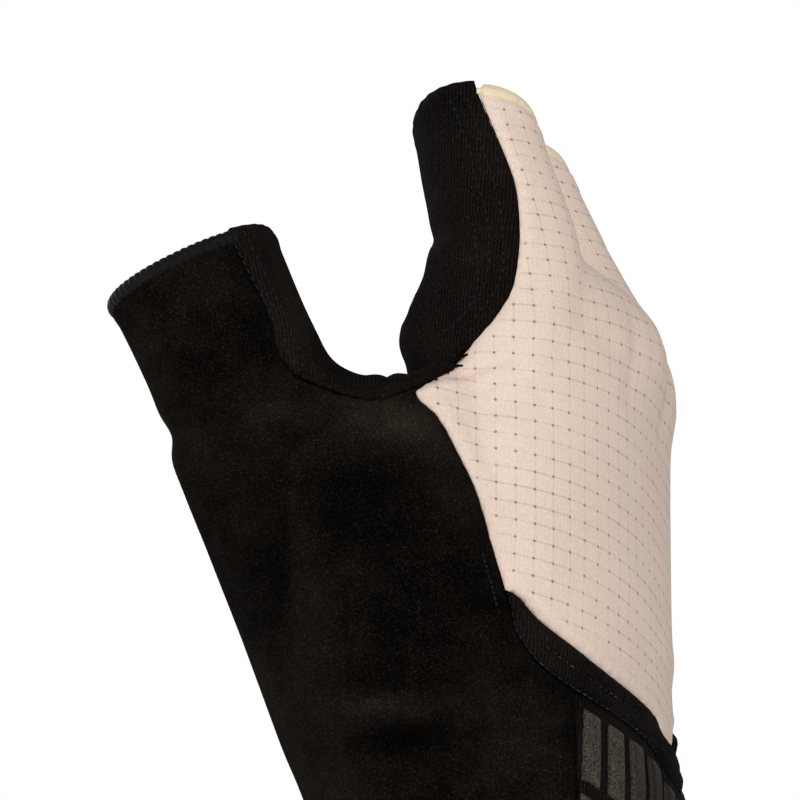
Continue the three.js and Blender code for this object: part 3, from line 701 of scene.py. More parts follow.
def sew_in(name, reaches, node, finish, coordinates, wall=CLOTH, roll=None, shape=None,
           margin=None):
    """Cuts a panel out of the form, turns its border in, and gives it its finish and place."""
    points, faces, normals, open_sides, edge, along = cut_out(reaches)
    across, up = coordinates(points, faces, normals)
    border = edge if margin is None else margin(points, edge)
    points = rolled(points, normals, edge, along, **(roll or {}))
    if shape is not None:
        points = shape(points, normals, edge)
    obj = skin_mesh(name, points, faces, normals, open_sides, wall, np.stack([across, up, border], 1))
    obj.data.materials.append(finish.material)
    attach(obj, "root")
    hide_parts(node)


# Where the suede is painted lighter or darker, partly nap brushing and partly painted highlights on fold
# ridges and bulges and painted shade in fold valleys: spot in the thumb-side view, half sizes, share
NAP_AND_PAINTED_LIGHT = [
    (-13, 90.5, 9, 5, 1.0), (-3, 80, 4, 8, 0.35), (-17, 45.5, 9, 2.2, 0.75), (-50, 104, 6, 10, 0.3),
    (-45, 86, 4, 5, 0.3), (-30, 60, 5, 9, 0.25), (0, 55, 6, 4, 0.35), (-34, 92, 5, 6, 0.35),
    (-33, 72, 3, 12, -0.4), (-15, 40.5, 9, 2.4, -0.7), (-22, 78, 6, 9, -0.25),
]


def nap_and_painted_shading(points, faces, normals):
    """How light the nap lies at each point, with painted highlights and painted shade over the folds on the
    thumb side, and its height.
    """
    share = np.zeros(len(points))
    for x, z, half_x, half_z, light in NAP_AND_PAINTED_LIGHT:
        share += light * np.exp(-((points[:, 0] - x) / half_x) ** 2 - ((points[:, 2] - z) / half_z) ** 2)
    return share * (points[:, 1] < 5), points[:, 2]


sew_in(
    "palm_panel_suede",
    [lambda p: below_ends(p, 0.5), lambda p: -in_back(p), lambda p: -np.maximum(in_band(p), in_cuff(p)),
     lambda p: -np.minimum(in_knit(p), np.maximum(on_thumb_side(p), on_index_side(p)))],
    "palm_panel", suede, coordinates=nap_and_painted_shading)

# Back panel: pale, thin, two-way stretch cloth over the back of the hand and of the four fingers. It is
# knitted with a fine thread grid and a small punched hole at every crossing, and sewn to the suede
# along both sides, so the cloth pulls into short creases at the thumb crotch.
GRID_ACROSS, GRID_UP = 3.25, 2.85
PALE_DEEP, PALE_LIGHT = (0.7, 0.565, 0.475, 1), (0.9, 0.745, 0.65, 1)
# The hole colour is painted shade for the dark inside seen through the holes.
GRID_THREAD, HOLE_SHADE_PAINTED = (0.52, 0.33, 0.28, 1), (0.29, 0.11, 0.09, 1)


def laid_flat(points, faces, normals, rounds=260):
    """Cloth coordinates: millimetres across and up along the cloth, as if it were laid flat."""
    across_way = np.cross([0, 0, 1], normals)
    across_way /= np.maximum(np.linalg.norm(across_way, axis=1), 0.05)[:, None]
    up_way = np.cross(normals, across_way)
    a, b = edges_of(faces).T
    count = len(points)
    both = []
    for way, guess in ((across_way, points[:, 1] + 0.6 * points[:, 0]), (up_way, points[:, 2])):
        wanted = ((points[b] - points[a]) * (way[a] + way[b])).sum(1) / 2

        def pull(x):
            gap = x[a] - x[b]
            return np.bincount(a, gap, count) - np.bincount(b, gap, count)

        value = guess.copy()
        rest = np.bincount(a, -wanted, count) - np.bincount(b, -wanted, count) - pull(value)
        step, size = rest.copy(), rest @ rest
        for _ in range(rounds):
            pulled = pull(step)
            share = size / max(step @ pulled, 1e-12)
            value += share * step
            rest -= share * pulled
            size, last = rest @ rest, size
            step = rest + step * (size / max(last, 1e-12))
        both.append(value)
    return both


pale = Finish("pale_perforated_cloth", Roughness=0.8, Sheen_Weight=0.08, Sheen_Roughness=0.4,
              Sheen_Tint=(1, 0.93, 0.87, 1), Specular_IOR_Level=0.2)
across, up, border = pale.laid()
drift = pale.noise(70, 1)
cell_x = across / GRID_ACROSS + (drift - 0.5) * 0.3
cell_y = up / GRID_UP
from_line_x = (cell_x.worked("FRACT") - 0.5).worked("ABSOLUTE") * -GRID_ACROSS + GRID_ACROSS / 2
from_line_y = (cell_y.worked("FRACT") - 0.5).worked("ABSOLUTE") * -GRID_UP + GRID_UP / 2
hole = pale.ramp((from_line_x * from_line_x + from_line_y * from_line_y).worked("SQRT"), 0.1, 0.3, 1, 0)
thread_x = pale.ramp(from_line_x, 0.06, 0.23, 1, 0)
thread_y = pale.ramp(from_line_y, 0.06, 0.23, 1, 0)
stray = pale.noise(300, 1)
clear_of_seam = pale.ramp(border + (stray - 0.5) * 2.2, 0.9, 1.5)
broken = pale.ramp(pale.noise(160, 2), 0.36, 0.6, 0.2, 1)
threads = (thread_x * 0.6 + thread_y).worked("MINIMUM", 1.0) * clear_of_seam * broken
holes_and_painted_shade = hole * clear_of_seam * pale.ramp(stray, 0.25, 0.45, 0.35, 1)
wale = ((across * 9.0).worked("SINE") * 0.5 + 0.5) * ((up * 12.0).worked("SINE") * 0.3 + 0.7)
fuzz = pale.ramp(pale.noise(2600, 3, rough=0.75), 0.34, 0.68)
stain = pale.ramp(pale.noise(35, 3), 0.3, 0.7)
ground = pale.blend(stain * 0.35 + fuzz * 0.65, PALE_DEEP, PALE_LIGHT)
lined = pale.blend(threads * 0.4, ground, GRID_THREAD)
# The holes are painted dark: painted shade for the glove's dark inside seen through them. The same mask also
# dents the bump.
punched = pale.blend(holes_and_painted_shade * 0.85, lined, HOLE_SHADE_PAINTED)
pale.put(Base_Color=punched, Roughness=pale.ramp(fuzz, 0, 1, 0.7, 0.86))
pale.bumped(wale * 0.25 + fuzz * 0.3 + threads * 0.3 - holes_and_painted_shade * 1.2, 0.12)


def grid_laid(points, faces, normals):
    """The thread grid's own directions: its rows drop towards the little finger near the cuff."""
    across, up = laid_flat(points, faces, normals)
    drop = 0.03 + 0.2 * np.clip((118 - points[:, 2]) / 55, 0, 1)
    return across, up + drop * (across + 34)


def cuff_margin(points, edge):
    """The plain margin of the cloth, which is wider along the cuff."""
    return edge * (0.42 + 0.58 * np.clip((points[:, 2] - 60) / 8, 0, 1) * (points[:, 1] < 20))


sew_in(
    "back_panel_cloth", [below_ends, in_back], "back_panel", pale,
    wall=1.0, roll={"depth": 0.35, "pucker": 0.1}, coordinates=grid_laid, margin=cuff_margin)

# Index side panel: a long tongue of black fine-rib knit on the thumb side of the index finger. It lies
# double along the pale cloth and is topstitched with two rows there and a third one below the finger's
# bend, and it is gathered in the crease where the finger bends.
RIB_PITCH, PURL_PITCH = 0.62, 0.5
KNIT_DARK, KNIT_LIGHT = (0.0008, 0.0006, 0.0005, 1), (0.038, 0.0295, 0.025, 1)
knit = Finish("black_rib_knit", Roughness=0.9, Sheen_Weight=0.005, Sheen_Roughness=0.45,
              Sheen_Tint=(1, 0.92, 0.85, 1), Specular_IOR_Level=0.03)
across, up, _ = knit.laid()
rib = ((across + (knit.noise(300, 1) - 0.5) * 0.25) * (2 * math.pi / RIB_PITCH)).worked("SINE") * 0.5 + 0.5
purl = (up * (2 * math.pi / PURL_PITCH)).worked("SINE") * 0.5 + 0.5
lint = knit.ramp(knit.noise(2600, 3, rough=0.75), 0.36, 0.7)
shade = knit.ramp(knit.noise(70, 2), 0.35, 0.7)
fleck = knit.ramp(knit.noise(3600, 1), 0.58, 0.74)
# The rib term paints each rib's crest lighter and its groove darker: painted shade that follows the rib's
# bump.
lit = (rib * 0.2 + lint * 0.28 + shade * 0.2 + fleck * 0.42) ** 1.6
knit.put(Base_Color=knit.blend(lit, KNIT_DARK, KNIT_LIGHT),
         Roughness=knit.ramp(lint, 0, 1, 0.84, 0.96))
knit.bumped(rib * 0.45 + purl * rib * 0.25 + lint * 0.35, 0.14)

sew_in(
    "index_side_panel_knit",
    [lambda p: below_ends(p, -0.9), in_knit, on_index_side, lambda p: -in_back(p),
     lambda p: -on_thumb_side(p)],
    "index_side_panel", knit, wall=1.3,
    roll={"depth": 0.45, "width": 1.4, "pucker": 0.1}, coordinates=laid_flat)

THREAD_DARK, THREAD_LIGHT = (0.0008, 0.0009, 0.0012, 1), (0.0125, 0.0138, 0.016, 1)
thread = Finish("dark_sewing_thread", Roughness=0.7, Specular_IOR_Level=0.15)
twist = thread.ramp(thread.noise(2600, 2), 0.3, 0.7)
thread.put(Base_Color=thread.blend(twist, THREAD_DARK, THREAD_LIGHT),
           Roughness=thread.ramp(twist, 0, 1, 0.45, 0.7))
thread.bumped(twist, 0.08)


def line_on_form(line, view="thumb", step=0.4):
    """A line of the tables laid on the glove's skin, as points and outward directions at even steps."""
    flat = curve(line, 8)
    run = np.concatenate([[0], np.cumsum(np.linalg.norm(np.diff(flat, axis=0), axis=1))])
    at = np.arange(0, run[-1], step)
    places = zip(np.interp(at, run, flat[:, 0]), np.interp(at, run, flat[:, 1]))
    met = [m for m in (met_from(view, a, b) for a, b in places) if m is not None]
    return np.array([m[0] for m in met]), np.array([m[1] for m in met])


def swept(spots, outward, wide, high, sides=8):
    """Points and faces of a closed roll along spots, wide to each side and high outwards."""
    way = np.gradient(spots, axis=0)
    way /= np.linalg.norm(way, axis=1)[:, None]
    across = np.cross(way, outward)
    across /= np.linalg.norm(across, axis=1)[:, None]
    outward = np.cross(across, way)
    turns = np.linspace(0, 2 * np.pi, sides, endpoint=False)
    aside = np.cos(turns) * np.broadcast_to(wide, len(spots))[:, None]
    up = np.sin(turns) * np.broadcast_to(high, len(spots))[:, None]
    loops = spots[:, None] + across[:, None] * aside[..., None] + outward[:, None] * up[..., None]
    return loops.reshape(-1, 3), tube_faces(len(spots), sides)


def make_trim(name, parts, finish, nodes=(), facts=None):
    """One piece from closed rolls or strips, riding with the glove."""
    points, faces, start = [], [], 0
    for spots, ring_faces in parts:
        faces += [tuple(start + i for i in face) for face in ring_faces]
        points.append(spots)
        start += len(spots)
    mesh = bpy.data.meshes.new(name)
    mesh.from_pydata((np.vstack(points) * MM).tolist(), [], faces)
    mesh.shade_smooth()
    if facts is not None:
        kept = mesh.attributes.new("laid", "FLOAT_VECTOR", "POINT")
        kept.data.foreach_set("vector", np.asarray(facts, np.float32).ravel())
    mesh.materials.append(finish.material)
    obj = bpy.data.objects.new(name, mesh)
    bpy.context.scene.collection.objects.link(obj)
    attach(obj, "root")
    if nodes:
        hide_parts(*nodes)


def stitches(spots, outward, long=1.0, gap=0.5, thick=0.2, rise=0.13):
    """A row of separate stitches, each dipping into the cloth at both ends."""
    run = np.concatenate([[0], np.cumsum(np.linalg.norm(np.diff(spots, axis=0), axis=1))])
    share = np.array([0, 0.08, 0.25, 0.5, 0.75, 0.92, 1])
    lift = np.array([-0.9, 0.2, 0.9, 1.0, 0.9, 0.2, -0.9]) * rise
    girth = np.array([0.35, 0.8, 1, 1, 1, 0.8, 0.35]) * thick
    parts = []
    for start in np.arange(0.2, run[-1] - long, long + gap):
        at = start + share * long
        place = np.stack([np.interp(at, run, column) for column in spots.T], 1)
        facing = np.stack([np.interp(at, run, column) for column in outward.T], 1)
        facing /= np.linalg.norm(facing, axis=1)[:, None]
        parts.append(swept(place + facing * lift[:, None], facing, girth, girth * 0.8, 6))
    return parts


# Rows of stitches: x and height in the thumb-side view
ROW_A = [(-6.3, 148), (-4.9, 145.1), (-3.4, 141.1), (-2.2, 137.9), (-1.6, 134.1), (-0.2, 130.2), (0.4, 127),
         (1, 123.9), (1.2, 120.2), (0.9, 117.1), (0.2, 114), (-2, 111)]
ROW_B = [(-3.4, 148), (-1.8, 144.1), (-1, 140.9), (0.2, 137.2), (1.5, 133.3), (2.5, 129.5), (3.1, 126.4),
         (3.4, 122.5), (3.6, 118.8), (3.3, 116.2), (1.7, 112.7), (-1.9, 107.9)]
ROW_C = [(-3.1, 127.4), (-1.4, 124.7), (-1, 120.9), (-0.6, 116.5), (-1.2, 112.9), (-3.5, 109.3),
         (-7.6, 106.6)]
index_threads = []
for row in (ROW_A, ROW_B, ROW_C):
    index_threads += stitches(*line_on_form(row))
make_trim("index_side_panel_threads", index_threads, thread)

# Thumb inner panel: the same black knit on the side of the thumb that faces the index finger. The
# suede laps over its edge and is held down by a row of stitches, with a second row beside it.
sew_in(
    "thumb_inner_panel_knit",
    [lambda p: below_ends(p, -0.5), in_knit, on_thumb_side, lambda p: -in_back(p)],
    "thumb_inner_panel", knit, wall=1.3,
    roll={"depth": 0.3, "width": 1.0, "pucker": 0.08}, coordinates=laid_flat)
THUMB_ROW_1 = [(-38.2, 121), (-36.3, 116.9), (-34.4, 113), (-32.8, 110), (-31, 105.6), (-29.2, 101),
               (-28, 99)]
THUMB_ROW_2 = [(-35.8, 120.8), (-33.5, 115.9), (-30.8, 109.9), (-28.5, 103.7), (-27, 100)]
thumb_threads = []
for row in (THUMB_ROW_1, THUMB_ROW_2):
    thumb_threads += stitches(*line_on_form(row))
make_trim("thumb_inner_panel_threads", thumb_threads, thread)

# Web binding: a thick strip of the black knit folded over the raw edges in the thumb crotch and sewn
# through, so it stands up as a lumpy roll. Its free end at the pale cloth is cut short and frays.
BINDING_WIDE, BINDING_HIGH, BINDING_LIFT, BINDING_SIDES = 1.45, 1.1, 0.35, 16
STUB_POINTS, STUB_SIDES = 7, 8
INSIDE_CLOTH = 3.0
# x, height in the thumb-side view, length, direction in degrees
FRAYED_ENDS = [
    (-4.4, 102.3, 2.6, 18), (-5.0, 101.4, 2.2, -6), (-4.0, 103.2, 2.4, 40), (-6.4, 99.9, 2.0, -48),
    (-7.6, 98.9, 1.8, -62), (-3.4, 103.9, 2.2, 62), (-8.8, 98.2, 1.5, -80),
]
web_points, web_out = line_on_form(binding_line)
web_run = np.linspace(0, 1, len(web_points))
lumps = 1 + 0.09 * np.sin(web_run * 61) + 0.06 * np.sin(web_run * 23 + 1)
taper = np.clip(np.minimum(0.3 + web_run / 0.6, (1 - web_run) / 0.04), 0.25, 1)
web_parts = [swept(web_points + web_out * BINDING_LIFT, web_out, BINDING_WIDE * lumps * taper,
                   BINDING_HIGH * lumps * taper, BINDING_SIDES)]
for x, z, long, turn in FRAYED_ENDS:
    spot, outward = met_from("thumb", x, z)
    way = np.array([math.cos(math.radians(turn)), 0, math.sin(math.radians(turn))])
    way -= outward * (way @ outward)
    share = np.linspace(-0.3, 1, STUB_POINTS)[:, None]
    stub = spot + way * long * share + outward * (0.45 - 0.3 * share ** 2)
    web_parts.append(swept(stub, np.tile(outward, (STUB_POINTS, 1)), np.linspace(0.42, 0.16, STUB_POINTS),
                           np.linspace(0.34, 0.12, STUB_POINTS), STUB_SIDES))
make_trim("web_binding_roll", web_parts, knit, ["web_binding"],
          np.full((sum(len(spots) for spots, _ in web_parts), 3), INSIDE_CLOTH))

# Thumb hem: the suede half of the thumb opening is bound with a bluish black overlock roll, so the
# edge is a row of small round ridges across the rim.
OVERLOCK_DARK, OVERLOCK_LIGHT = (0.001, 0.0011, 0.0014, 1), (0.0062, 0.007, 0.0088, 1)
THUMB_RIDGE, RIDGE_WIDE, RIDGE_HIGH = 1.25, 0.22, 0.24
THUMB_HEM_WIDE, THUMB_HEM_HIGH, THUMB_HEM_DOWN = 1.15, 0.95, 1.25
HEM_SIDES = 14
overlock = Finish("overlock_thread", Roughness=0.7, Sheen_Weight=0.01, Sheen_Tint=(0.8, 0.9, 1, 1),
                  Specular_IOR_Level=0.12)
strand = overlock.ramp(overlock.noise(1500, 3, rough=0.7), 0.3, 0.75)
overlock.put(Base_Color=overlock.blend(strand, OVERLOCK_DARK, OVERLOCK_LIGHT),
             Roughness=overlock.ramp(strand, 0, 1, 0.5, 0.75))
overlock.bumped(strand, 0.15)


def end_loop(section, down, turns):
    """Points round an open end a little below its edge, with the outward directions."""
    low = moved(section, -down)[None]
    spots = rings(low, 0, -0.55, turns)[0]
    outward = rings(low, 0, 0.45, turns)[0] - spots
    return spots, outward / np.linalg.norm(outward, axis=1)[:, None]


def longest_run(flags):
    """The longest unbroken run of true values round a loop, in order."""
    twice = np.concatenate([flags, flags])
    best, here = (0, 0), 0
    for i, flag in enumerate(twice):
        here = here + 1 if flag else 0
        if here > best[0]:
            best = (here, i)
    size = min(best[0], len(flags))
    return (np.arange(best[1] - size + 1, best[1] + 1)) % len(flags)


turns = np.linspace(0, 2 * np.pi, 720, endpoint=False)
rim_spots, rim_out = end_loop(thumb[-1], THUMB_HEM_DOWN, turns)
chosen = longest_run(in_knit(rim_spots) < 0.2)
rim_spots, rim_out = rim_spots[chosen], rim_out[chosen]
rim_run = np.concatenate([[0], np.cumsum(np.linalg.norm(np.diff(rim_spots, axis=0), axis=1))])
ridge = abs(np.sin(np.pi * rim_run / THUMB_RIDGE)) ** 0.7
thumb_roll = swept(rim_spots, rim_out, THUMB_HEM_WIDE + RIDGE_WIDE * ridge,
                   THUMB_HEM_HIGH + RIDGE_HIGH * ridge, HEM_SIDES)
make_trim("thumb_hem_roll", [thumb_roll], overlock, ["thumb_hem"])

# Finger hems: a narrow cream elastic folded over the edge of the pale cloth on the back half of each
# finger opening, with a faint rib along it.
ELASTIC_DEEP, ELASTIC_LIGHT = (0.74, 0.62, 0.41, 1), (0.9, 0.79, 0.58, 1)
ELASTIC_CORD, ELASTIC_WEFT = 0.55, 0.42
HEM_WIDE, HEM_HIGH, HEM_DOWN, HEM_STEP = 1.35, 1.05, 0.7, 0.45
elastic = Finish("cream_elastic", Roughness=0.65, Sheen_Weight=0.05, Sheen_Tint=(1, 0.97, 0.9, 1),
                 Specular_IOR_Level=0.25)
across, up, _ = elastic.laid()
cord = (up * (2 * math.pi / ELASTIC_CORD)).worked("SINE") * 0.5 + 0.5
weft = (across * (2 * math.pi / ELASTIC_WEFT)).worked("SINE") * 0.5 + 0.5
dust = elastic.ramp(elastic.noise(900, 3), 0.3, 0.7)
# The cord and weft terms paint the weave lighter on its ridges and darker between them: painted shade that
# follows its bump.
lit = cord * 0.2 + weft * 0.15 + dust * 0.65
elastic.put(Base_Color=elastic.blend(lit, ELASTIC_DEEP, ELASTIC_LIGHT),
            Roughness=elastic.ramp(dust, 0, 1, 0.52, 0.7))
elastic.bumped(cord * 0.5 + weft * 0.5, 0.03)
for name, sections in fingers.items():
    rim_spots, rim_out = end_loop(sections[-1], HEM_DOWN, turns)
    chosen = longest_run(in_back(rim_spots) > -0.3)
    rim_spots, rim_out = rim_spots[chosen], rim_out[chosen]
    run = np.concatenate([[0], np.cumsum(np.linalg.norm(np.diff(rim_spots, axis=0), axis=1))])
    taper = np.clip(np.minimum(run, run[-1] - run) / 1.2, 0.45, 1)
    facts = np.stack([np.repeat(run, HEM_SIDES), np.tile(np.arange(HEM_SIDES) * HEM_STEP, len(run)),
                      np.full(len(run) * HEM_SIDES, INSIDE_CLOTH)], 1)
    roll = swept(rim_spots, rim_out, HEM_WIDE * taper, HEM_HIGH * taper, HEM_SIDES)
    make_trim(f"{name}_hem_elastic", [roll], elastic, [f"{name}_hem"], facts)

# Cuff and its band: the wrist end on the back of the hand is black elastic knit. Along its slanting
# top edge the knit is folded into a double band, sewn down on its lower side, which ends in a small
# round fold beside the suede.
sew_in(
    "cuff_knit", [below_ends, in_cuff, lambda p: -in_band(p)], "cuff", knit,
    wall=1.3, roll={"depth": 0.3, "width": 1.0}, coordinates=laid_flat)
CORNER_FOLD, CORNER_HIGH, CORNER_WIDE = np.array([4.6, -39, 61]), 1.3, 2.3
BAND_LOW, BAND_HIGH = 0.2, 0.6


def band_shape(points, normals, edge):
    """Two soft rolls side by side along the band, with a groove between them."""
    top = np.maximum(-reach_in(points, back_outline(thumb_side_line)), 0)
    below = np.vstack([
        [-FAR, band_line[0][1]], band_line, [FAR, band_line[-1][1]], [FAR, -FAR], [-FAR, -FAR]])
    low = np.maximum(-reach_in(points, below), 0)
    share = top / np.maximum(top + low, 1e-6)
    height = BAND_LOW + BAND_HIGH * abs(np.sin(2 * np.pi * np.clip(share, 0, 1))) ** 0.8
    corner = CORNER_HIGH * np.exp(-((points - CORNER_FOLD) ** 2).sum(1) / CORNER_WIDE ** 2)
    return points + normals * (height * np.clip(edge / 0.9, 0, 1) + corner)[:, None]


sew_in(
    "cuff_band_knit", [below_ends, in_band], "cuff_band", knit, wall=1.3,
    roll={"depth": 0.1, "width": 0.8, "pucker": 0.05}, shape=band_shape, coordinates=laid_flat)

TOPSTITCH_DARK, TOPSTITCH_GLINT = (0.004, 0.0045, 0.005, 1), (0.085, 0.09, 0.09, 1)
glinting_thread = Finish("topstitch_thread_painted_glints", Roughness=0.5, Specular_IOR_Level=0.4)
# The light flecks along these stitches are painted glints on dark thread.
shine = glinting_thread.ramp(glinting_thread.noise(520, 2), 0.5, 0.66)
glinting_thread.put(Base_Color=glinting_thread.blend(shine, TOPSTITCH_DARK, TOPSTITCH_GLINT),
                Roughness=glinting_thread.ramp(shine, 0, 1, 0.7, 0.4))


ROW_POINTS, ROW_POINTS_SEWN = 40, 29


def between(first, second, share):
    """A line part of the way from one line to another."""
    at = np.linspace(0, 1, ROW_POINTS)
    even = [np.stack([np.interp(at, np.linspace(0, 1, len(line)), line[:, k]) for k in (0, 1)], 1)
            for line in (first, second)]
    return even[0] + (even[1] - even[0]) * share


band_threads = []
for share, lift in ((0.5, 0.5), (0.97, 0.3)):
    spots, outward = line_on_form(between(cuff_line, band_line, share)[:ROW_POINTS_SEWN])
    band_threads += stitches(spots + outward * lift, outward, long=0.9, gap=0.45, thick=0.07, rise=0.1)
make_trim("cuff_band_threads", band_threads, glinting_thread)

SEAM_ROW = [(0, 70), (0.3, 68.9), (1.1, 65.8), (2.2, 60.9)]
spots, outward = line_on_form(SEAM_ROW)
seam_threads = stitches(spots + outward * 0.1, outward, long=0.7, gap=0.2, thick=0.2, rise=0.2)
make_trim("side_seam_threads", seam_threads, thread)

# Grip bars: upright strips of dark satin rubber in two rows, fused onto the cuff's knit so that the
# glove can be pulled on. Each stands off the cloth with a rounded edge, and its top follows the band.
BAR_WIDTH, BAR_HEIGHT, BAR_RAISE = 3.5, 12.0, 0.75
BAR_COLUMNS, BAR_ROWS, BAR_STEP = 13, 2, 9.6
BAR_ROW_GAP, BAR_TOP_MARGIN = 2.2, 2.0
BAR_POINTS_ACROSS, BAR_POINTS_UP, BAR_EDGE, BAR_SEAT = 9, 17, 0.55, 0.12
# Columns from either end of a row, and how light their bars are painted: the end bars get painted light, the
# rest painted shade as the cuff turns away
LIT_COLUMNS, LIT_SHARES = [1, 2, 3], [1, 0.55, 0.2]
BAR_DARK, BAR_LIGHT, BAR_PAINTED_SHADE = (0.006, 0.005, 0.004, 1), (0.094, 0.076, 0.059, 1), (0.009, 0.0075, 0.006, 1)
EDGE_GLINT_PAINTED = (0.14, 0.145, 0.14, 1)

rubber = Finish("grip_rubber", Roughness=0.55, Specular_IOR_Level=0.12)
grime = rubber.ramp(rubber.noise(420, 4, rough=0.7), 0.32, 0.7)
grain = rubber.ramp(rubber.noise(3300, 2), 0.4, 0.6)
sideways, bars_painted_lit, _ = rubber.laid()
# A painted highlight along one long edge of every bar.
painted_edge_glint = rubber.ramp(sideways, 0.68, 0.9) * rubber.ramp(rubber.noise(800, 2), 0.4, 0.6)
face = rubber.blend(grime * 0.35 + grain * 0.65, BAR_DARK, BAR_LIGHT)
# Bars away from the row's ends are blended to a dark colour: painted shade on bars turned from the light.
face = rubber.blend(bars_painted_lit, BAR_PAINTED_SHADE, face)
rubber.put(Base_Color=rubber.blend(painted_edge_glint, face, EDGE_GLINT_PAINTED),
           Roughness=rubber.ramp(grime, 0, 1, 0.42, 0.6))
rubber.bumped(grain * 0.6 + grime * 0.4, 0.05)


def bar_top(spot, row):
    """The height of a bar's top edge where it meets the cuff at a spot."""
    band_edge = np.interp(spot[0], band_line[:, 0], band_line[:, 1])
    return band_edge - BAR_TOP_MARGIN - row * (BAR_HEIGHT + BAR_ROW_GAP)


def bar(column, row):
    """Points, faces and finish facts of one bar, laid on the cuff: how far to the side each point lies,
    how much painted light the bar gets against painted shade, and the distance to its edge."""
    section = hand[1]
    angle = math.radians((column - (BAR_COLUMNS - 1) / 2) * BAR_STEP)
    x, y = math.cos(angle) * section[10], math.sin(angle) * section[11]
    facing = math.atan2(y / section[11] ** 2, x / section[10] ** 2)
    out = np.array([math.cos(facing), math.sin(facing), 0])
    side = np.array([-math.sin(facing), math.cos(facing), 0])
    bar_painted_lit = np.interp(min(column, BAR_COLUMNS - 1 - column), LIT_COLUMNS, LIT_SHARES)
    top, base, facts = [], [], []
    for s in np.linspace(-1, 1, BAR_POINTS_ACROSS):
        start = np.array([x, y, 0]) + side * s * BAR_WIDTH / 2 + out * 60
        for t in np.linspace(0, 1, BAR_POINTS_UP):
            z = 30.0
            for _ in range(6):
                spot = plain_tree.ray_cast(Vector((*start[:2], z)), Vector(-out))[0]
                z += 0.7 * (bar_top(spot, row) - t * BAR_HEIGHT - z)
            met = form_tree.ray_cast(Vector((*start[:2], z)), Vector(-out))[:2]
            spot, normal = (np.array(v) for v in met)
            from_edge = min((1 - abs(s)) * BAR_WIDTH / 2, t * BAR_HEIGHT, (1 - t) * BAR_HEIGHT)
            height = BAR_RAISE * min(1, (from_edge / BAR_EDGE)) ** 0.5 if from_edge > 0 else -0.1
            top.append(spot + normal * (BAR_SEAT + height))
            base.append(spot - normal * 0.25)
            facts.append((s, bar_painted_lit, from_edge))
    faces, n, last = [], len(top), BAR_POINTS_ACROSS - 1
    for i in range(last):
        for j in range(BAR_POINTS_UP - 1):
            a, b = i * BAR_POINTS_UP + j, (i + 1) * BAR_POINTS_UP + j
            faces.append((a, a + 1, b + 1, b))
            faces.append((n + a, n + b, n + b + 1, n + a + 1))
    rim = list(range(BAR_POINTS_UP))
    rim += [i * BAR_POINTS_UP + BAR_POINTS_UP - 1 for i in range(1, BAR_POINTS_ACROSS)]
    rim += [last * BAR_POINTS_UP + j for j in range(BAR_POINTS_UP - 2, -1, -1)]
    rim += [i * BAR_POINTS_UP for i in range(last - 1, 0, -1)]
    for a, b in zip(rim, rim[1:] + rim[:1]):
        faces.append((b, a, n + a, n + b))
    return np.array(top + base), faces, facts * 2


for row in range(BAR_ROWS):
    for column in range(BAR_COLUMNS):
        node = f"grip_bar_{row + 1}_{column + 1}"
        points, faces, facts = bar(column, row)
        make_trim(f"{node}_rubber", [(points, faces)], rubber, [node], facts)

# The stage, all of it in metres: a pale floor well below the glove, which is held up by its wrist
# opening, four large soft lights, and a room that is white to the camera and warm to the glove.
FLOOR_REACH, FLOOR_DROP = 6, 0.5
FLOOR_DARK, FLOOR_LIGHT = (0.8, 0.8, 0.8, 1), (0.84, 0.84, 0.84, 1)
LIT_SPOT = (-0.017, -0.025, 0.09)
# name, place, size, power
LIGHTS = [
    ("key_light", (0.33, -1.3, 0.5), 0.6, 10.6), ("side_light", (-1.1, -0.7, 0.35), 0.8, 3),
    ("rear_light", (0.9, 0.9, 0.8), 0.8, 2.2), ("palm_light", (-1.2, 0.6, 0.5), 0.8, 5),
]
ROOM_COLOUR, ROOM_STRENGTH = (1, 0.93, 0.84, 1), 0.24
CAMERA_PLACE, CAMERA_AIM = (0.186251, -0.982056, -0.108304), (-0.017117, -0.025284, 0.099608)
CAMERA_SENSOR, CAMERA_LENS = 36, 270

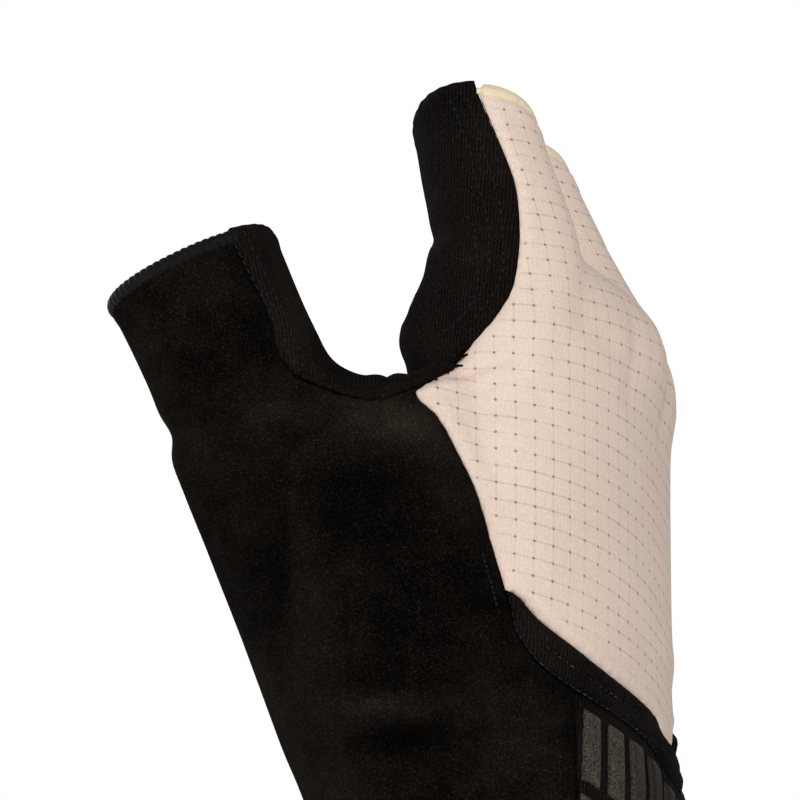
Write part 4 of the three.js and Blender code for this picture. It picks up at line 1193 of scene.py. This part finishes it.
floor_mesh = bpy.data.meshes.new("floor")
floor_corners = [(x * FLOOR_REACH, y * FLOOR_REACH, -FLOOR_DROP)
                 for x, y in ((-1, -1), (1, -1), (1, 1), (-1, 1))]
floor_mesh.from_pydata(floor_corners, [], [(0, 1, 2, 3)])
floor = bpy.data.objects.new("floor", floor_mesh)
bpy.context.scene.collection.objects.link(floor)
plain = Finish("pale_floor", Roughness=0.9, Emission_Color=(1, 1, 1, 1), Emission_Strength=0.35)
plain.put(Base_Color=plain.blend(plain.ramp(plain.noise(3, 2), 0.3, 0.7), FLOOR_DARK, FLOOR_LIGHT))
floor_mesh.materials.append(plain.material)

for name, place, size, power in LIGHTS:
    lamp = bpy.data.lights.new(name, "AREA")
    lamp.shape, lamp.size, lamp.energy = "DISK", size, power
    holder = bpy.data.objects.new(name, lamp)
    bpy.context.scene.collection.objects.link(holder)
    holder.location = place
    holder.rotation_euler = (Vector(LIT_SPOT) - Vector(place)).to_track_quat("-Z", "Y").to_euler()

room = bpy.data.worlds.new("white_room")
bpy.context.scene.world = room
room.use_nodes = True
sky = room.node_tree
sky.nodes["Background"].inputs["Color"].default_value = ROOM_COLOUR
sky.nodes["Background"].inputs["Strength"].default_value = ROOM_STRENGTH
seen = sky.nodes.new("ShaderNodeBackground")
seen.inputs["Color"].default_value = (1, 1, 1, 1)
mixed = sky.nodes.new("ShaderNodeMixShader")
path = sky.nodes.new("ShaderNodeLightPath")
sky.links.new(path.outputs["Is Camera Ray"], mixed.inputs[0])
sky.links.new(sky.nodes["Background"].outputs[0], mixed.inputs[1])
sky.links.new(seen.outputs[0], mixed.inputs[2])
sky.links.new(mixed.outputs[0], sky.nodes["World Output"].inputs["Surface"])
bpy.context.scene.view_settings.view_transform = "Standard"

# The camera stands on the thumb side, a little towards the back and below the glove, a metre away
camera = bpy.data.objects.new("camera", bpy.data.cameras.new("camera"))
bpy.context.scene.collection.objects.link(camera)
camera.data.sensor_width, camera.data.lens = CAMERA_SENSOR, CAMERA_LENS
camera.location = CAMERA_PLACE
camera.rotation_euler = (Vector(CAMERA_AIM) - Vector(CAMERA_PLACE)).to_track_quat("-Z", "Y").to_euler()
camera.data.clip_start, camera.data.clip_end = 0.05, 20
bpy.context.scene.camera = camera
